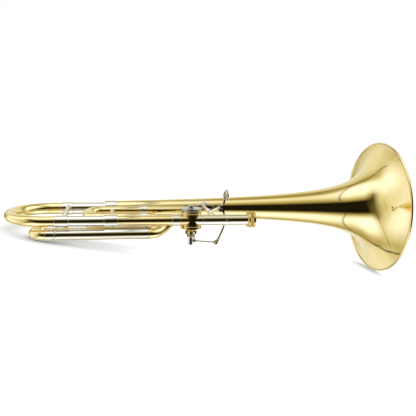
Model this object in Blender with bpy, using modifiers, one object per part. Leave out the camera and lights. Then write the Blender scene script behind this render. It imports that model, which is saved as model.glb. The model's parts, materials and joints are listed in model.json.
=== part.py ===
"""Bell section of a bass trombone with one rotary valve, in metres, +Z up.

The instrument is modelled level first: +X runs along the tubes from the tuning slide
to the bell, +Y from the neckpipe leg to the bell leg, and the rotor turns about Z.
The empty "instrument" then leans it the way it lies on a table, on its bell rim and
the bow of the valve slide.
"""

import math

import bmesh
import bpy
from mathutils import Vector

# Clearances
GAP = 0.0003              # between pieces that touch
SLIDE_FIT = 0.0003        # between an inner slide tube and its outer tube

# Main line, from the tuning slide to the bell and to the hand slide
LEG_SPACING = 0.115       # neckpipe leg to bell leg
TUBE_WALL = 0.0007
SLIDE_WALL = 0.0006
NECK_OUTER_RADIUS = 0.0083    # outer slide tube of the neckpipe leg
BELL_OUTER_RADIUS = 0.0102    # outer slide tube of the bell leg
OUTER_TUBE_LENGTH = 0.0515
OUTER_TUBE_END = -0.1313      # where both outer tubes enter their ferrules
FERRULE_LENGTH = 0.0190
FERRULE_WALL = 0.0009
CROOK_STRAIGHT = 0.0145       # brass straight between crook ferrule and bow
CROOK_GAP = 0.0012            # gap between crook ferrule and outer tube when pushed in
SLIDE_SPARE = 0.0010          # outer tube beyond the end of the inner slide tube
SLIDE_TRAVEL = 0.040

GOOSENECK_RADIUS = 0.0079
VALVE_FERRULE_START = -0.0306
VALVE_FERRULE_LENGTH = 0.0122
VALVE_FERRULE_RADIUS = 0.0087
KNUCKLE_RADIUS = 0.0080
NECKPIPE_RADIUS = 0.0083
NECKPIPE_START = 0.0172
NECKPIPE_LENGTH = 0.0720
NECK_RING_PLACE = 0.0531
NECK_RING_WIDTH = 0.0022

# Bell
BELL_RADIUS = 0.12065         # 9.5 inch bell
BELL_RIM_PLACE = 0.3710
BELL_WALL = 0.0008
BELL_TAIL_RADIUS = 0.012903143   # narrow end, in its ferrule
BELL_EXPONENT = 0.621
BELL_OFFSET = 0.00302
RIM_BEAD_RADIUS = 0.0021
BELL_STEPS = 48
BELL_RINGS = 15
BEAD_CORNERS = 6

# Valve
ROTOR_OFFSET = 0.0076         # rotor axis behind the neckpipe line
ROTOR_RADIUS = 0.0142
ROTOR_HALF_HEIGHT = 0.0116
PASSAGE_RADIUS = 0.0059
CASING_WALL = 0.0013
CASING_BOTTOM = -0.0133
CASING_TOP = 0.0130
CASING_RIM = 0.0006
CAP_RADIUS = 0.0165
CAP_HEIGHT = 0.0045
KNOB_RADIUS = 0.0046
KNOB_HEIGHT = 0.0042
SPINDLE_RADIUS = 0.0030
BOSS_RADIUS = 0.0048
BOSS_BOTTOM = -0.0236
STOP_ARM_REACH = 0.0095       # rotor axis to the arm's ball
STOP_ARM_THICKNESS = 0.0030
STEM_RADIUS = 0.0034
STEM_BOTTOM = -0.0405
BALL_LEVEL = -0.0360          # height of the link on the stop arm
ROTOR_SWING = math.radians(90)
BUMPER_RADIUS = 0.0016
BUMPER_LENGTH = 0.0030
BUMPER_PLATE_THICKNESS = 0.0016
LUG_RADIUS = 0.0012
LUG_REACH = 0.0078

# Valve tubing
F_RADIUS = 0.0082             # outer tubes of the valve slide
F_BEND_RADIUS = 0.0077        # its bends and bows
F_LEG_SPACING = 0.036
F_LEVEL = -0.0203             # height of the valve slide under the main line
F_OUTER_START = -0.2040
F_OUTER_LENGTH = 0.1375
F_RING_LENGTH = 0.0026
F_FERRULE_LENGTH = 0.0122
F_SLIDE_GAP = 0.0008
F_SPARE = 0.0095              # outer tube beyond the end of its inner tube
F_TRAVEL = 0.100
F_PORT_OFFSET = 0.0094        # rear port line behind the rotor axis
RETURN_Y = 0.0184             # leg that runs back behind the neckpipe leg
RETURN_Z = 0.0010
UPPER_Y = 0.0604              # long upper leg of the valve tubing
UPPER_Z = 0.0045
C_BOW_CENTRE = -0.1368
BOW_LEAD = 0.0020             # straight start of the bows of the valve tubing
PORT_BEND_LEAD = 0.0030       # straight start of the bend from the front leg
PORT_BEND_END = -0.0150       # where that bend lines up with its port
UPPER_FERRULE_START = -0.0763
UPPER_FERRULE_LENGTH = 0.0131
RETURN_FERRULE_LENGTH = 0.0110

# Braces
BRACE_RADIUS = 0.0026
CROOK_BRACE_RADIUS = 0.0038
BELL_BRACE_RADIUS = 0.0029
BRACE_FOOT = 0.0045
BRACE_FOOT_HEIGHT = 0.0040
CROOK_BRACE_PLACE = 0.0115    # from the crook ferrule's brass end
VALVE_BRACE_PLACE = -0.1890
POST_PLACE = -0.1200
POST_RADIUS = 0.0015
POST_FOOT = 0.0029
BELL_BRACE_PLACE = 0.0360
BELL_BRACE_FOOT = 0.0035
FLANGE_PLACE = 0.0380
BELL_BRACE_Z = 0.0050
CROOK_BRACE_Z = 0.0030
FLANGE_LENGTH = 0.0335
FLANGE_HEIGHT = 0.0140
FLANGE_THICKNESS = 0.0013
FLANGE_SHAPE = 1.3            # 1 is a diamond, 2 an ellipse

# Thumb lever and link
HINGE_PLACE = (0.0482, 0.0200, 0.0140)
HINGE_BARREL_RADIUS = 0.0029
HINGE_BARREL_LENGTH = 0.0140
HINGE_PIN_RADIUS = 0.0013
LEVER_EAR_RADIUS = 0.0037
LEVER_EAR_THICKNESS = 0.0016
LEVER_BALL = (0.0430, 0.0200, -0.0405)
LEVER_ARM_RADIUS = 0.0017
LEVER_STEM_RADIUS = 0.0019
LEVER_BALL_RADIUS = 0.0023
LEVER_COLLAR_RADIUS = 0.0025
LEVER_COLLAR_LENGTH = 0.0065
STUD_LENGTH = 0.0046          # from the middle of the arm's end to the middle of the ball
# Places on the lever in X and Z, from its hinge
LEVER_BAR_OFFSET = (0.0044, 0.0054)
LEVER_CHEEK = ((-0.0030, 0.0050), (0.0066, 0.0085), (0.0055, -0.0085))
LEVER_ARM_TOP = (0.0048, -0.0050)
LEVER_ARM_SHOULDER = (0.0066, -0.0160)
LEVER_ARM_KNEE = (0.0050, -0.0305)
LEVER_STEM_BEND = (0.0066, 0.0100)
PADDLE_PLACE = (0.0580, 0.0215, 0.0355)
PADDLE_LENGTH = 0.0165
PADDLE_WIDTH = 0.0150
PADDLE_THICKNESS = 0.0022
PADDLE_TURN = math.radians(20)        # faces the player's thumb, towards the neckpipe
PADDLE_LEAN = 0.14
BRACKET_PLACE = 0.0290
BRACKET_ANGLE = math.radians(65)      # round the neckpipe, from the bell leg's side up
BRACKET_RADIUS = 0.0026
BRACKET_SIDE = 0.0045         # the bracket's arm holds this side of the barrel's middle
SPRING_WIRE = 0.00045
SPRING_RADIUS = 0.0042
SPRING_SPAN = (-0.0005, 0.0060)       # along the barrel, from its middle
SPRING_CURLS = 4
SPRING_CURL_POINTS = 9
SPRING_START = math.radians(180)
SPRING_END = math.radians(-42)
SPRING_LEGS = (0.0040, 0.0072)
LINK_RADIUS = 0.0010
LINK_EYE_WIDTH = 0.0028
LINK_EYE_WALL = 0.0010
OPEN_PIVOT_CLEARANCE = 0.0017    # room round the stop arm's pin in the link's eye
PIN_RADIUS = 0.0011
PIN_EYE_Y = 0.0157            # middle of the pin's arc, where the link's eye runs

# Hand slide socket
NUT_RADIUS = 0.0131
NUT_LENGTH = 0.0128
NUT_OVERLAP = 0.0016          # how far it reaches back over the neckpipe's end
NUT_KNURLS = 26
COLLAR_RADIUS = 0.0098

# Facets
MAIN_SIDES = 18
F_SIDES = 14
ROD_SIDES = 10
TURN_STEPS = 18
VALVE_STEPS = 26

BRASS = ((0.80, 0.60, 0.22), 0.12)
NICKEL = ((0.78, 0.75, 0.68), 0.12)
STEEL = ((0.60, 0.58, 0.54), 0.20)
NUT_BRASS = ((0.60, 0.42, 0.16), 0.30)
CORK = ((0.05, 0.04, 0.03), 0.80)


def clear_scene():
    for item in list(bpy.data.objects):
        bpy.data.objects.remove(item, do_unlink=True)


def material(name, look):
    colour, roughness = look
    made = bpy.data.materials.new(name)
    made.use_nodes = True
    shader = made.node_tree.nodes["Principled BSDF"]
    shader.inputs["Base Color"].default_value = (*colour, 1.0)
    shader.inputs["Roughness"].default_value = roughness
    shader.inputs["Metallic"].default_value = 0.0 if look is CORK else 1.0
    return made


def add(item, look, parent, cutter=False):
    """Put an object in its collection, under its parent, with its own material."""
    home = "cutters" if cutter else "bass_trombone"
    bpy.data.collections[home].objects.link(item)
    item.parent = parent
    if cutter:
        item.hide_render = True
        item.display_type = "WIRE"
    else:
        item.data.materials.append(material(item.name, look))
    return item


def smooth(mesh, angle=40):
    mesh.shade_smooth()
    mesh.set_sharp_from_angle(angle=math.radians(angle))


def as_mesh(item):
    """Replace a curve by a welded mesh, so that it can be cut or joined."""
    bpy.context.view_layer.update()
    shape = item.evaluated_get(bpy.context.evaluated_depsgraph_get())
    mesh = bpy.data.meshes.new_from_object(shape)
    work = bmesh.new()
    work.from_mesh(mesh)
    bmesh.ops.remove_doubles(work, verts=work.verts, dist=0.000001)
    work.to_mesh(mesh)
    work.free()
    made = bpy.data.objects.new(item.name, mesh)
    for group in item.users_collection:
        group.objects.link(made)
    made.parent = item.parent
    made.matrix_world = item.matrix_world
    made.hide_render = item.hide_render
    made.display_type = item.display_type
    name = item.name
    bpy.data.objects.remove(item, do_unlink=True)
    made.name = name
    smooth(mesh)
    return made


def sweep(name, path, radius, look, parent, sides=ROD_SIDES, radii=None, wall=None, cutter=False):
    """A round rod, or with a wall a tube, along a path in the level instrument's frame."""
    start = Vector(path[0])
    data = bpy.data.curves.new(name, "CURVE")
    data.dimensions = "3D"
    data.bevel_depth = radius
    data.bevel_resolution = sides // 2 - 2
    data.use_fill_caps = wall is None
    spline = data.splines.new("POLY")
    spline.points.add(len(path) - 1)
    for number, place in enumerate(path):
        spline.points[number].co = (*(Vector(place) - start), 1.0)
        spline.points[number].radius = radii[number] / radius if radii else 1.0
    item = bpy.data.objects.new(name, data)
    item.location = start - (parent.location if parent.parent else Vector())
    add(item, look, parent, cutter)
    if wall is not None:
        shell = item.modifiers.new("wall", "SOLIDIFY")
        shell.thickness = wall
        shell.offset = -1.0
    return item


def turned(name, profile, place, axis, look, parent, steps=TURN_STEPS, cutter=False, wall=None):
    """A turned piece. The profile lists (radius, height) down the outer side and,
    for a ring, back up the bore. Heights run along the axis from the place."""
    mesh = bpy.data.meshes.new(name)
    work = bmesh.new()
    corners = [work.verts.new((radius, 0.0, height)) for radius, height in profile]
    closed = wall is None and profile[0][0] > 0.0
    for first, second in zip(corners, corners[1:]):
        work.edges.new((first, second))
    if closed:
        work.edges.new((corners[-1], corners[0]))
    work.to_mesh(mesh)
    work.free()
    item = bpy.data.objects.new(name, mesh)
    item.rotation_euler = Vector((0, 0, 1)).rotation_difference(Vector(axis)).to_euler()
    item.location = Vector(place) - (parent.location if parent.parent else Vector())
    add(item, look, parent, cutter)
    spin = item.modifiers.new("turn", "SCREW")
    spin.angle = math.tau
    spin.steps = steps
    spin.render_steps = steps
    spin.use_smooth_shade = True
    spin.use_merge_vertices = not closed
    spin.merge_threshold = 0.00001
    if wall is not None:
        shell = item.modifiers.new("wall", "SOLIDIFY")
        shell.thickness = wall
        shell.offset = -1.0
    return item


def boolean(item, tool, operation="DIFFERENCE"):
    step = item.modifiers.new(operation.lower(), "BOOLEAN")
    step.operation = operation
    step.solver = "EXACT"
    step.object = tool
    return item


def rod_cutter(name, start, end, radius, parent, sides=MAIN_SIDES):
    """A straight cylinder that cuts a seat or a bore."""
    length = (Vector(end) - Vector(start)).length
    outline = [(0.0, length), (radius, length), (radius, 0.0), (0.0, 0.0)]
    return turned(name, outline, start, Vector(end) - Vector(start), None, parent, sides, True)


def ring_profile(outer, bore, length, edge=0.0002):
    """A sleeve with broken outer edges, from height 0 to its length."""
    return [
        (outer - edge, length), (outer, length - edge), (outer, edge), (outer - edge, 0.0),
        (bore, 0.0), (bore, length),
    ]


def sleeve(name, start, length, outer, bore, look, parent, y=0.0, z=0.0, sides=MAIN_SIDES):
    """A plain ferrule or collar along X."""
    return turned(name, ring_profile(outer, bore, length), (start, y, z), (1, 0, 0), look, parent, sides)


def tube(name, start, length, radius, wall, look, parent, y=0.0, z=0.0, sides=MAIN_SIDES):
    """A straight open tube along X."""
    profile = [(radius, length), (radius, 0.0), (radius - wall, 0.0), (radius - wall, length)]
    return turned(name, profile, (start, y, z), (1, 0, 0), look, parent, sides)


def rounded(corners, bends, rings):
    """A path through corners, with an arc of the given radius at each inner one."""
    path = [Vector(corners[0])]
    for before, corner, after, bend in zip(corners, corners[1:], corners[2:], bends):
        corner = Vector(corner)
        back = (Vector(before) - corner).normalized()
        ahead = (Vector(after) - corner).normalized()
        half = back.angle(ahead) / 2
        centre = corner + (back + ahead).normalized() * bend / math.sin(half)
        first = corner + back * bend / math.tan(half) - centre
        last = corner + ahead * bend / math.tan(half) - centre
        sweep_angle = first.angle(last)
        for ring in range(rings + 1):
            part = ring / rings
            mix = math.sin((1 - part) * sweep_angle) * first + math.sin(part * sweep_angle) * last
            path.append(centre + mix / math.sin(sweep_angle))
    path.append(Vector(corners[-1]))
    return path


def bow(start, across, rings, lead=0.0):
    """A half circle that starts and ends along X, open towards +X when lead is positive.
    It goes from the start to the start plus across, bulging away from the lead."""
    start = Vector(start)
    across = Vector(across)
    middle = start + across / 2
    out = Vector((-math.copysign(across.length / 2, lead), 0, 0))
    path = [start + Vector((lead, 0, 0))]
    for ring in range(rings + 1):
        turn = math.pi * ring / rings
        path.append(middle - across / 2 * math.cos(turn) + out * math.sin(turn))
    path.append(start + across + Vector((lead, 0, 0)))
    return path


def wound(start, end, from_radius, to_radius, from_angle, to_angle, rings):
    """A path along X that winds round the main line, easing in and out."""
    path = []
    for ring in range(rings + 1):
        part = ring / rings
        ease = part * part * (3 - 2 * part)
        radius = from_radius + (to_radius - from_radius) * ease
        angle = from_angle + (to_angle - from_angle) * ease
        path.append(Vector((start + (end - start) * part, radius * math.cos(angle),
                            radius * math.sin(angle))))
    return path


def surface(place, along, tube_seat):
    """Where a line that starts inside a tube along X comes out of it."""
    y, z, radius = tube_seat
    offset = Vector((0, place.y - y, place.z - z))
    middle = offset.dot(along)
    return place + along * (math.sqrt(middle ** 2 - offset.dot(offset) + radius ** 2) - middle)


def brace(name, start, end, seats, look, parent, radius=BRACE_RADIUS, foot=BRACE_FOOT):
    """A turned rod from one tube to another, with a spread foot cut to sit on each.
    The seats give each tube's y, z and radius."""
    start = Vector(start)
    end = Vector(end)
    along = (end - start).normalized()
    near, far = seats
    first = surface(start, along, near) - along * foot ** 2 / (1.6 * near[2])
    last = surface(end, -along, far) + along * foot ** 2 / (1.6 * far[2])
    length = (last - first).length
    flare = min(BRACE_FOOT_HEIGHT, length / 2 - GAP)
    profile = [
        (0.0, length), (foot, length), (foot, length - flare / 2), (radius, length - flare),
        (radius, flare), (foot, flare / 2), (foot, 0.0), (0.0, 0.0),
    ]
    item = turned(name, profile, first, last - first, look, parent, 12)
    for number, (y, z, tube_radius) in enumerate(seats):
        boolean(item, rod_cutter(name + "_seat_" + str(number), (start.x - 0.02, y, z),
                                 (start.x + 0.02, y, z), tube_radius + GAP, instrument))
    return item


def bell_throat():
    """Length scale of the flare, from the radii of the bell's two ends."""
    run = BELL_RIM_PLACE - OUTER_TUBE_END - FERRULE_LENGTH - GAP
    opening = (BELL_RADIUS + BELL_OFFSET) / (BELL_TAIL_RADIUS + BELL_OFFSET)
    return run / (opening ** (1 / BELL_EXPONENT) - 1)


def bell_radius(x):
    """Outer radius of the bell, which opens by a power law towards the rim."""
    depth = BELL_RIM_PLACE - x
    reach = BELL_RADIUS + BELL_OFFSET
    return reach * (1 + depth / bell_throat()) ** -BELL_EXPONENT - BELL_OFFSET


def empty(name, place, parent):
    item = bpy.data.objects.new(name, None)
    bpy.data.collections["bass_trombone"].objects.link(item)
    item.empty_display_size = 0.02
    item.location = place
    item.parent = parent
    return item


def join(name, items, look, parent, place):
    """One solid from several overlapping ones, with its origin at the given place."""
    base = items[0]
    for other in items[1:]:
        boolean(base, other, "UNION")
    bpy.context.view_layer.update()
    shape = base.evaluated_get(bpy.context.evaluated_depsgraph_get())
    mesh = bpy.data.meshes.new_from_object(shape)
    mesh.transform(base.matrix_world)
    made = bpy.data.objects.new(name, mesh)
    made.location = Vector(place) - (parent.location if parent.parent else Vector())
    add(made, look, parent)
    mesh.materials.clear()
    mesh.materials.append(material(name, look))
    bpy.context.view_layer.update()
    mesh.transform(made.matrix_world.inverted())
    for other in items:
        bpy.data.objects.remove(other, do_unlink=True)
    smooth(mesh)
    return made


def block(name, centre, size, parent):
    """A plain block that only serves as a cutter or as stock for a joined piece."""
    mesh = bpy.data.meshes.new(name)
    work = bmesh.new()
    bmesh.ops.create_cube(work, size=1.0)
    bmesh.ops.scale(work, vec=size, verts=work.verts)
    work.to_mesh(mesh)
    work.free()
    item = bpy.data.objects.new(name, mesh)
    item.location = centre
    return add(item, None, parent, True)


def prism(name, outline, centre, across, up, depth, parent):
    """A plate that serves as a cutter or as stock. Its outline lies along two directions,
    and the plate reaches half its depth to each side of the centre."""
    across = Vector(across).normalized()
    up = Vector(up).normalized()
    out = across.cross(up) * depth / 2
    mesh = bpy.data.meshes.new(name)
    work = bmesh.new()
    near = [work.verts.new(across * a + up * b - out) for a, b in outline]
    far = [work.verts.new(across * a + up * b + out) for a, b in outline]
    work.faces.new(near)
    work.faces.new(far)
    for number in range(len(outline)):
        work.faces.new((near[number - 1], near[number], far[number], far[number - 1]))
    bmesh.ops.recalc_face_normals(work, faces=work.faces)
    work.to_mesh(mesh)
    work.free()
    item = bpy.data.objects.new(name, mesh)
    item.location = centre
    return add(item, None, parent, True)


def lean_angle():
    """Lean at which the bell rim and the bow of the valve slide reach equally low."""
    bow_end = F_OUTER_START - F_SLIDE_GAP - F_FERRULE_LENGTH - F_LEG_SPACING / 2
    run = BELL_RIM_PLACE - bow_end
    drop = BELL_RADIUS - RIM_BEAD_RADIUS + F_LEVEL
    spare = RIM_BEAD_RADIUS - F_BEND_RADIUS
    return math.atan2(drop, run) + math.asin(spare / math.hypot(run, drop))


def stand(instrument, pieces):
    """Set the leaning instrument on Z = 0 with its box centred on the origin."""
    bpy.context.view_layer.update()
    graph = bpy.context.evaluated_depsgraph_get()
    low = Vector((1e9, 1e9, 1e9))
    high = -low
    for piece in pieces:
        shape = piece.evaluated_get(graph)
        mesh = shape.to_mesh()
        for corner in mesh.vertices:
            place = shape.matrix_world @ corner.co
            low = Vector(map(min, low, place))
            high = Vector(map(max, high, place))
        shape.to_mesh_clear()
    instrument.location -= Vector(((low.x + high.x) / 2, (low.y + high.y) / 2, low.z))
    bpy.context.view_layer.update()


clear_scene()
for group in ("bass_trombone", "cutters"):
    bpy.context.scene.collection.children.link(bpy.data.collections.new(group))

instrument = empty("instrument", (0, 0, 0), None)

# Stations along X that several pieces share
outer_start = OUTER_TUBE_END - OUTER_TUBE_LENGTH
crook_ferrule_start = outer_start - CROOK_GAP - FERRULE_LENGTH
crook_centre = crook_ferrule_start - CROOK_STRAIGHT
ferrule_end = OUTER_TUBE_END + FERRULE_LENGTH
neck_inner_radius = NECK_OUTER_RADIUS - TUBE_WALL - SLIDE_FIT
bell_inner_radius = BELL_OUTER_RADIUS - TUBE_WALL - SLIDE_FIT
casing_inner = ROTOR_RADIUS + GAP
casing_outer = casing_inner + CASING_WALL
f_outer_end = F_OUTER_START + F_OUTER_LENGTH
f_inner_radius = F_RADIUS - TUBE_WALL - SLIDE_FIT
f_ferrule_start = F_OUTER_START - F_SLIDE_GAP - F_FERRULE_LENGTH
f_port_y = ROTOR_OFFSET + F_PORT_OFFSET
rotor_axis = Vector((0.0, ROTOR_OFFSET, 0.0))

main_slide = empty("main_slide_axis", (crook_ferrule_start, LEG_SPACING / 2, 0.0), instrument)
f_slide = empty("f_slide_axis", (f_ferrule_start, F_LEG_SPACING / 2, F_LEVEL), instrument)
rotor_joint = empty("rotor_axis", rotor_axis, instrument)
lever_joint = empty("lever_axis", HINGE_PLACE, instrument)
link_joint = empty("link_axis", LEVER_BALL, instrument)
neckpipe_end = NECKPIPE_START + NECKPIPE_LENGTH
nut_start = neckpipe_end - NUT_OVERLAP
nut_joint = empty("nut_axis", (nut_start, 0.0, 0.0), instrument)

# Bell leg
tail_start = ferrule_end + GAP
edge_radius = BELL_RADIUS - 2 * RIM_BEAD_RADIUS - GAP
reach = (BELL_RADIUS + BELL_OFFSET) / (edge_radius + BELL_OFFSET)
bell_length = BELL_RIM_PLACE - bell_throat() * (reach ** (1 / BELL_EXPONENT) - 1) - tail_start
bell_profile = []
for ring in range(BELL_RINGS):
    depth = bell_length * (1 - ring / (BELL_RINGS - 1)) ** 2.2
    x = tail_start + bell_length - depth
    bell_profile.append((bell_radius(x), x - tail_start))
bell_profile.reverse()
turned("bell", bell_profile, (tail_start, LEG_SPACING, 0), (1, 0, 0), BRASS, instrument,
       BELL_STEPS, wall=BELL_WALL)

bead_profile = []
for corner in range(BEAD_CORNERS):
    turn = -math.tau * corner / BEAD_CORNERS
    bead_profile.append((
        BELL_RADIUS - RIM_BEAD_RADIUS + RIM_BEAD_RADIUS * math.cos(turn),
        RIM_BEAD_RADIUS * math.sin(turn),
    ))
turned("bell_rim_bead", bead_profile, (BELL_RIM_PLACE, LEG_SPACING, 0), (1, 0, 0), BRASS,
       instrument, BELL_STEPS)

bell_ferrule_radius = max(bell_radius(tail_start), BELL_OUTER_RADIUS + GAP + FERRULE_WALL / 2)
bell_ferrule_radius += FERRULE_WALL / 2
sleeve("bell_ferrule", OUTER_TUBE_END - FERRULE_WALL, FERRULE_LENGTH + FERRULE_WALL,
       bell_ferrule_radius, BELL_OUTER_RADIUS + GAP, NICKEL, instrument, LEG_SPACING)
tube("bell_leg_outer_tube", outer_start, OUTER_TUBE_LENGTH + FERRULE_LENGTH,
     BELL_OUTER_RADIUS, TUBE_WALL, NICKEL, instrument, LEG_SPACING)

# Neckpipe leg, from its outer tube to the valve
neck_ferrule_radius = NECK_OUTER_RADIUS + FERRULE_WALL
tube("neck_leg_outer_tube", outer_start, OUTER_TUBE_LENGTH + FERRULE_LENGTH / 2,
     NECK_OUTER_RADIUS, TUBE_WALL, NICKEL, instrument)
sleeve("neck_ferrule", OUTER_TUBE_END - FERRULE_WALL, FERRULE_LENGTH + FERRULE_WALL,
       neck_ferrule_radius, NECK_OUTER_RADIUS + GAP, NICKEL, instrument)
gooseneck_start = OUTER_TUBE_END + FERRULE_LENGTH / 2 + GAP
gooseneck_end = VALVE_FERRULE_START + VALVE_FERRULE_LENGTH / 2
tube("gooseneck", gooseneck_start, gooseneck_end - gooseneck_start, GOOSENECK_RADIUS,
     TUBE_WALL, BRASS, instrument)
sleeve("valve_ferrule", VALVE_FERRULE_START, VALVE_FERRULE_LENGTH, VALVE_FERRULE_RADIUS,
       max(GOOSENECK_RADIUS, KNUCKLE_RADIUS) + GAP, NICKEL, instrument)

# Valve casing, with its four ports, and the knuckles that lead into it
casing_profile = [
    (casing_outer + CASING_RIM, CASING_TOP), (casing_outer + CASING_RIM, CASING_TOP - 0.0030),
    (casing_outer, CASING_TOP - 0.0036), (casing_outer, CASING_BOTTOM + 0.0040),
    (casing_outer + CASING_RIM, CASING_BOTTOM + 0.0036), (casing_outer + CASING_RIM, CASING_BOTTOM),
    (casing_inner, CASING_BOTTOM), (casing_inner, CASING_TOP),
]
casing = turned("valve_casing", casing_profile, rotor_axis, (0, 0, 1), BRASS, instrument, VALVE_STEPS)
boolean(casing, rod_cutter("main_ports", (-0.03, 0, 0), (0.03, 0, 0), PASSAGE_RADIUS, instrument))
boolean(casing, rod_cutter("front_f_port", (-0.03, f_port_y, 0), (-0.004, f_port_y, 0),
                           PASSAGE_RADIUS - 0.0006, instrument))
boolean(casing, rod_cutter("rear_f_port", (F_PORT_OFFSET, ROTOR_OFFSET + 0.003, 0),
                           (F_PORT_OFFSET, 0.04, 0), PASSAGE_RADIUS - 0.0006, instrument))

casing_seat = rod_cutter("casing_seat", rotor_axis - Vector((0, 0, 0.03)),
                         rotor_axis + Vector((0, 0, 0.03)), casing_outer + GAP, instrument, VALVE_STEPS)
knuckle_start = gooseneck_end + GAP
gooseneck_knuckle = tube("gooseneck_knuckle", knuckle_start, -0.001 - knuckle_start,
                         KNUCKLE_RADIUS, TUBE_WALL, BRASS, instrument)
boolean(gooseneck_knuckle, casing_seat)
neckpipe_knuckle = tube("neckpipe_knuckle", 0.001, NECKPIPE_START - 0.001 - GAP,
                        KNUCKLE_RADIUS, TUBE_WALL, NICKEL, instrument)
boolean(neckpipe_knuckle, casing_seat)

cap_base = CASING_TOP + GAP
cap_top = cap_base + CAP_HEIGHT
cap_profile = [
    (0.0, cap_top + 0.0012), (0.0016, cap_top + 0.0012), (0.0021, cap_top + KNOB_HEIGHT),
    (KNOB_RADIUS - 0.0008, cap_top + KNOB_HEIGHT), (KNOB_RADIUS, cap_top + KNOB_HEIGHT - 0.0009),
    (KNOB_RADIUS - 0.0003, cap_top + 0.0004), (CAP_RADIUS - 0.0006, cap_top),
    (CAP_RADIUS, cap_top - 0.0006), (CAP_RADIUS, cap_top - 0.0022),
    (CAP_RADIUS - 0.0012, cap_top - 0.0026), (CAP_RADIUS - 0.0010, cap_base),
    (casing_inner - 0.0014, cap_base), (casing_inner - 0.0014, cap_base + 0.0016),
    (0.0, cap_base + 0.0016),
]
turned("valve_cap", cap_profile, rotor_axis, (0, 0, 1), NICKEL, instrument, VALVE_STEPS)

upper_bearing_profile = ring_profile(casing_inner - GAP, SPINDLE_RADIUS + GAP, 0.0009, 0.0001)
turned("upper_bearing", upper_bearing_profile, rotor_axis + Vector((0, 0, ROTOR_HALF_HEIGHT + GAP)),
       (0, 0, 1), BRASS, instrument, 20)

plate_top = CASING_BOTTOM - GAP
plate_radius = casing_inner - 0.0050
bearing_profile = [
    (casing_outer - 0.0010, plate_top), (casing_outer - 0.0010, plate_top - 0.0008),
    (plate_radius, plate_top - 0.0024), (BOSS_RADIUS, plate_top - 0.0040),
    (BOSS_RADIUS, BOSS_BOTTOM), (SPINDLE_RADIUS + GAP, BOSS_BOTTOM),
    (SPINDLE_RADIUS + GAP, plate_top),
]
turned("bearing_plate", bearing_profile, rotor_axis, (0, 0, 1), BRASS, instrument, 20)

# Rotor, with one passage for the main line and one for the valve tubing
rotor_profile = [
    (0.0, ROTOR_HALF_HEIGHT + 0.0030), (SPINDLE_RADIUS, ROTOR_HALF_HEIGHT + 0.0030),
    (SPINDLE_RADIUS, ROTOR_HALF_HEIGHT), (ROTOR_RADIUS, ROTOR_HALF_HEIGHT),
    (ROTOR_RADIUS, -ROTOR_HALF_HEIGHT), (SPINDLE_RADIUS, -ROTOR_HALF_HEIGHT),
    (SPINDLE_RADIUS, BOSS_BOTTOM - GAP), (0.0, BOSS_BOTTOM - GAP),
]
rotor = turned("rotor", rotor_profile, rotor_axis, (0, 0, 1), BRASS, rotor_joint, VALVE_STEPS)
boolean(rotor, rod_cutter("main_passage", (-0.03, 0, 0), (0.03, 0, 0), PASSAGE_RADIUS, instrument))
boolean(rotor, rod_cutter("f_passage", (-0.03, f_port_y, 0), (0.03, f_port_y, 0),
                          PASSAGE_RADIUS - 0.0006, instrument))

# Stop arm: its hub under the boss, the arm with its pin, and the lug between the bumpers
rest_angle = math.pi / 2 - ROTOR_SWING / 2
arm_top = BOSS_BOTTOM - 2 * GAP
arm_level = arm_top - STOP_ARM_THICKNESS / 2
pin_place = rotor_axis + STOP_ARM_REACH * Vector((math.cos(rest_angle), math.sin(rest_angle), 0))
lug_place = rotor_axis - LUG_REACH * Vector((math.cos(rest_angle), math.sin(rest_angle), 0))
level = Vector((0, 0, arm_level))
hub = turned("arm_hub", [(0.0, arm_top), (0.0052, arm_top), (0.0052, arm_top - STOP_ARM_THICKNESS),
                         (STEM_RADIUS, arm_top - STOP_ARM_THICKNESS - 0.0012),
                         (STEM_RADIUS, STEM_BOTTOM + 0.0008), (STEM_RADIUS - 0.0008, STEM_BOTTOM),
                         (0.0, STEM_BOTTOM)],
             rotor_axis, (0, 0, 1), None, instrument, 16, True)
arm = sweep("arm_bar", [lug_place + level, pin_place + level], 0.0013, None, instrument, 10, cutter=True)
pin = sweep("arm_pin", [pin_place + Vector((0, 0, arm_level + 0.0010)),
                        pin_place + Vector((0, 0, BALL_LEVEL - 0.0026))],
            PIN_RADIUS, None, instrument, 10, cutter=True)
lug = sweep("arm_lug", [lug_place + Vector((0, 0, arm_level - 0.0010)),
                        lug_place + Vector((0, 0, arm_top + 0.0040))],
            LUG_RADIUS, None, instrument, 10, cutter=True)
join("stop_arm", [hub, as_mesh(arm), as_mesh(pin), as_mesh(lug)], STEEL, rotor_joint, rotor_axis)

# Bumper plate round the boss, with a bumper at each end of the lug's path
bumper_spread = 2 * math.asin((LUG_RADIUS + BUMPER_RADIUS + GAP) / (2 * LUG_REACH))
plate_level = bearing_profile[3][1] - GAP - BUMPER_PLATE_THICKNESS
plate_place = rotor_axis + Vector((0, 0, plate_level))
ring = turned("plate_ring",
              ring_profile(BOSS_RADIUS + 0.0022, BOSS_RADIUS + GAP, BUMPER_PLATE_THICKNESS),
              plate_place, (0, 0, 1), None, instrument, 20, True)
plate_pieces = [ring]
holder_radius = BUMPER_RADIUS + 0.0006
for side, name in ((-1, "left"), (1, "right")):
    angle = -math.pi / 2 + side * (ROTOR_SWING / 2 + bumper_spread)
    spot = plate_place + LUG_REACH * Vector((math.cos(angle), math.sin(angle), 0))
    plate_pieces.append(turned(
        "holder_" + name,
        [(0.0, BUMPER_PLATE_THICKNESS), (holder_radius, BUMPER_PLATE_THICKNESS),
         (holder_radius, 0.0), (0.0, 0.0)],
        spot, (0, 0, 1), None, instrument, 12, True))
    turned("bumper_" + name,
           [(0.0, -GAP), (BUMPER_RADIUS, -GAP), (BUMPER_RADIUS, -GAP - BUMPER_LENGTH),
            (0.0, -GAP - BUMPER_LENGTH)],
           spot, (0, 0, 1), CORK, instrument, 12)
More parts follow.
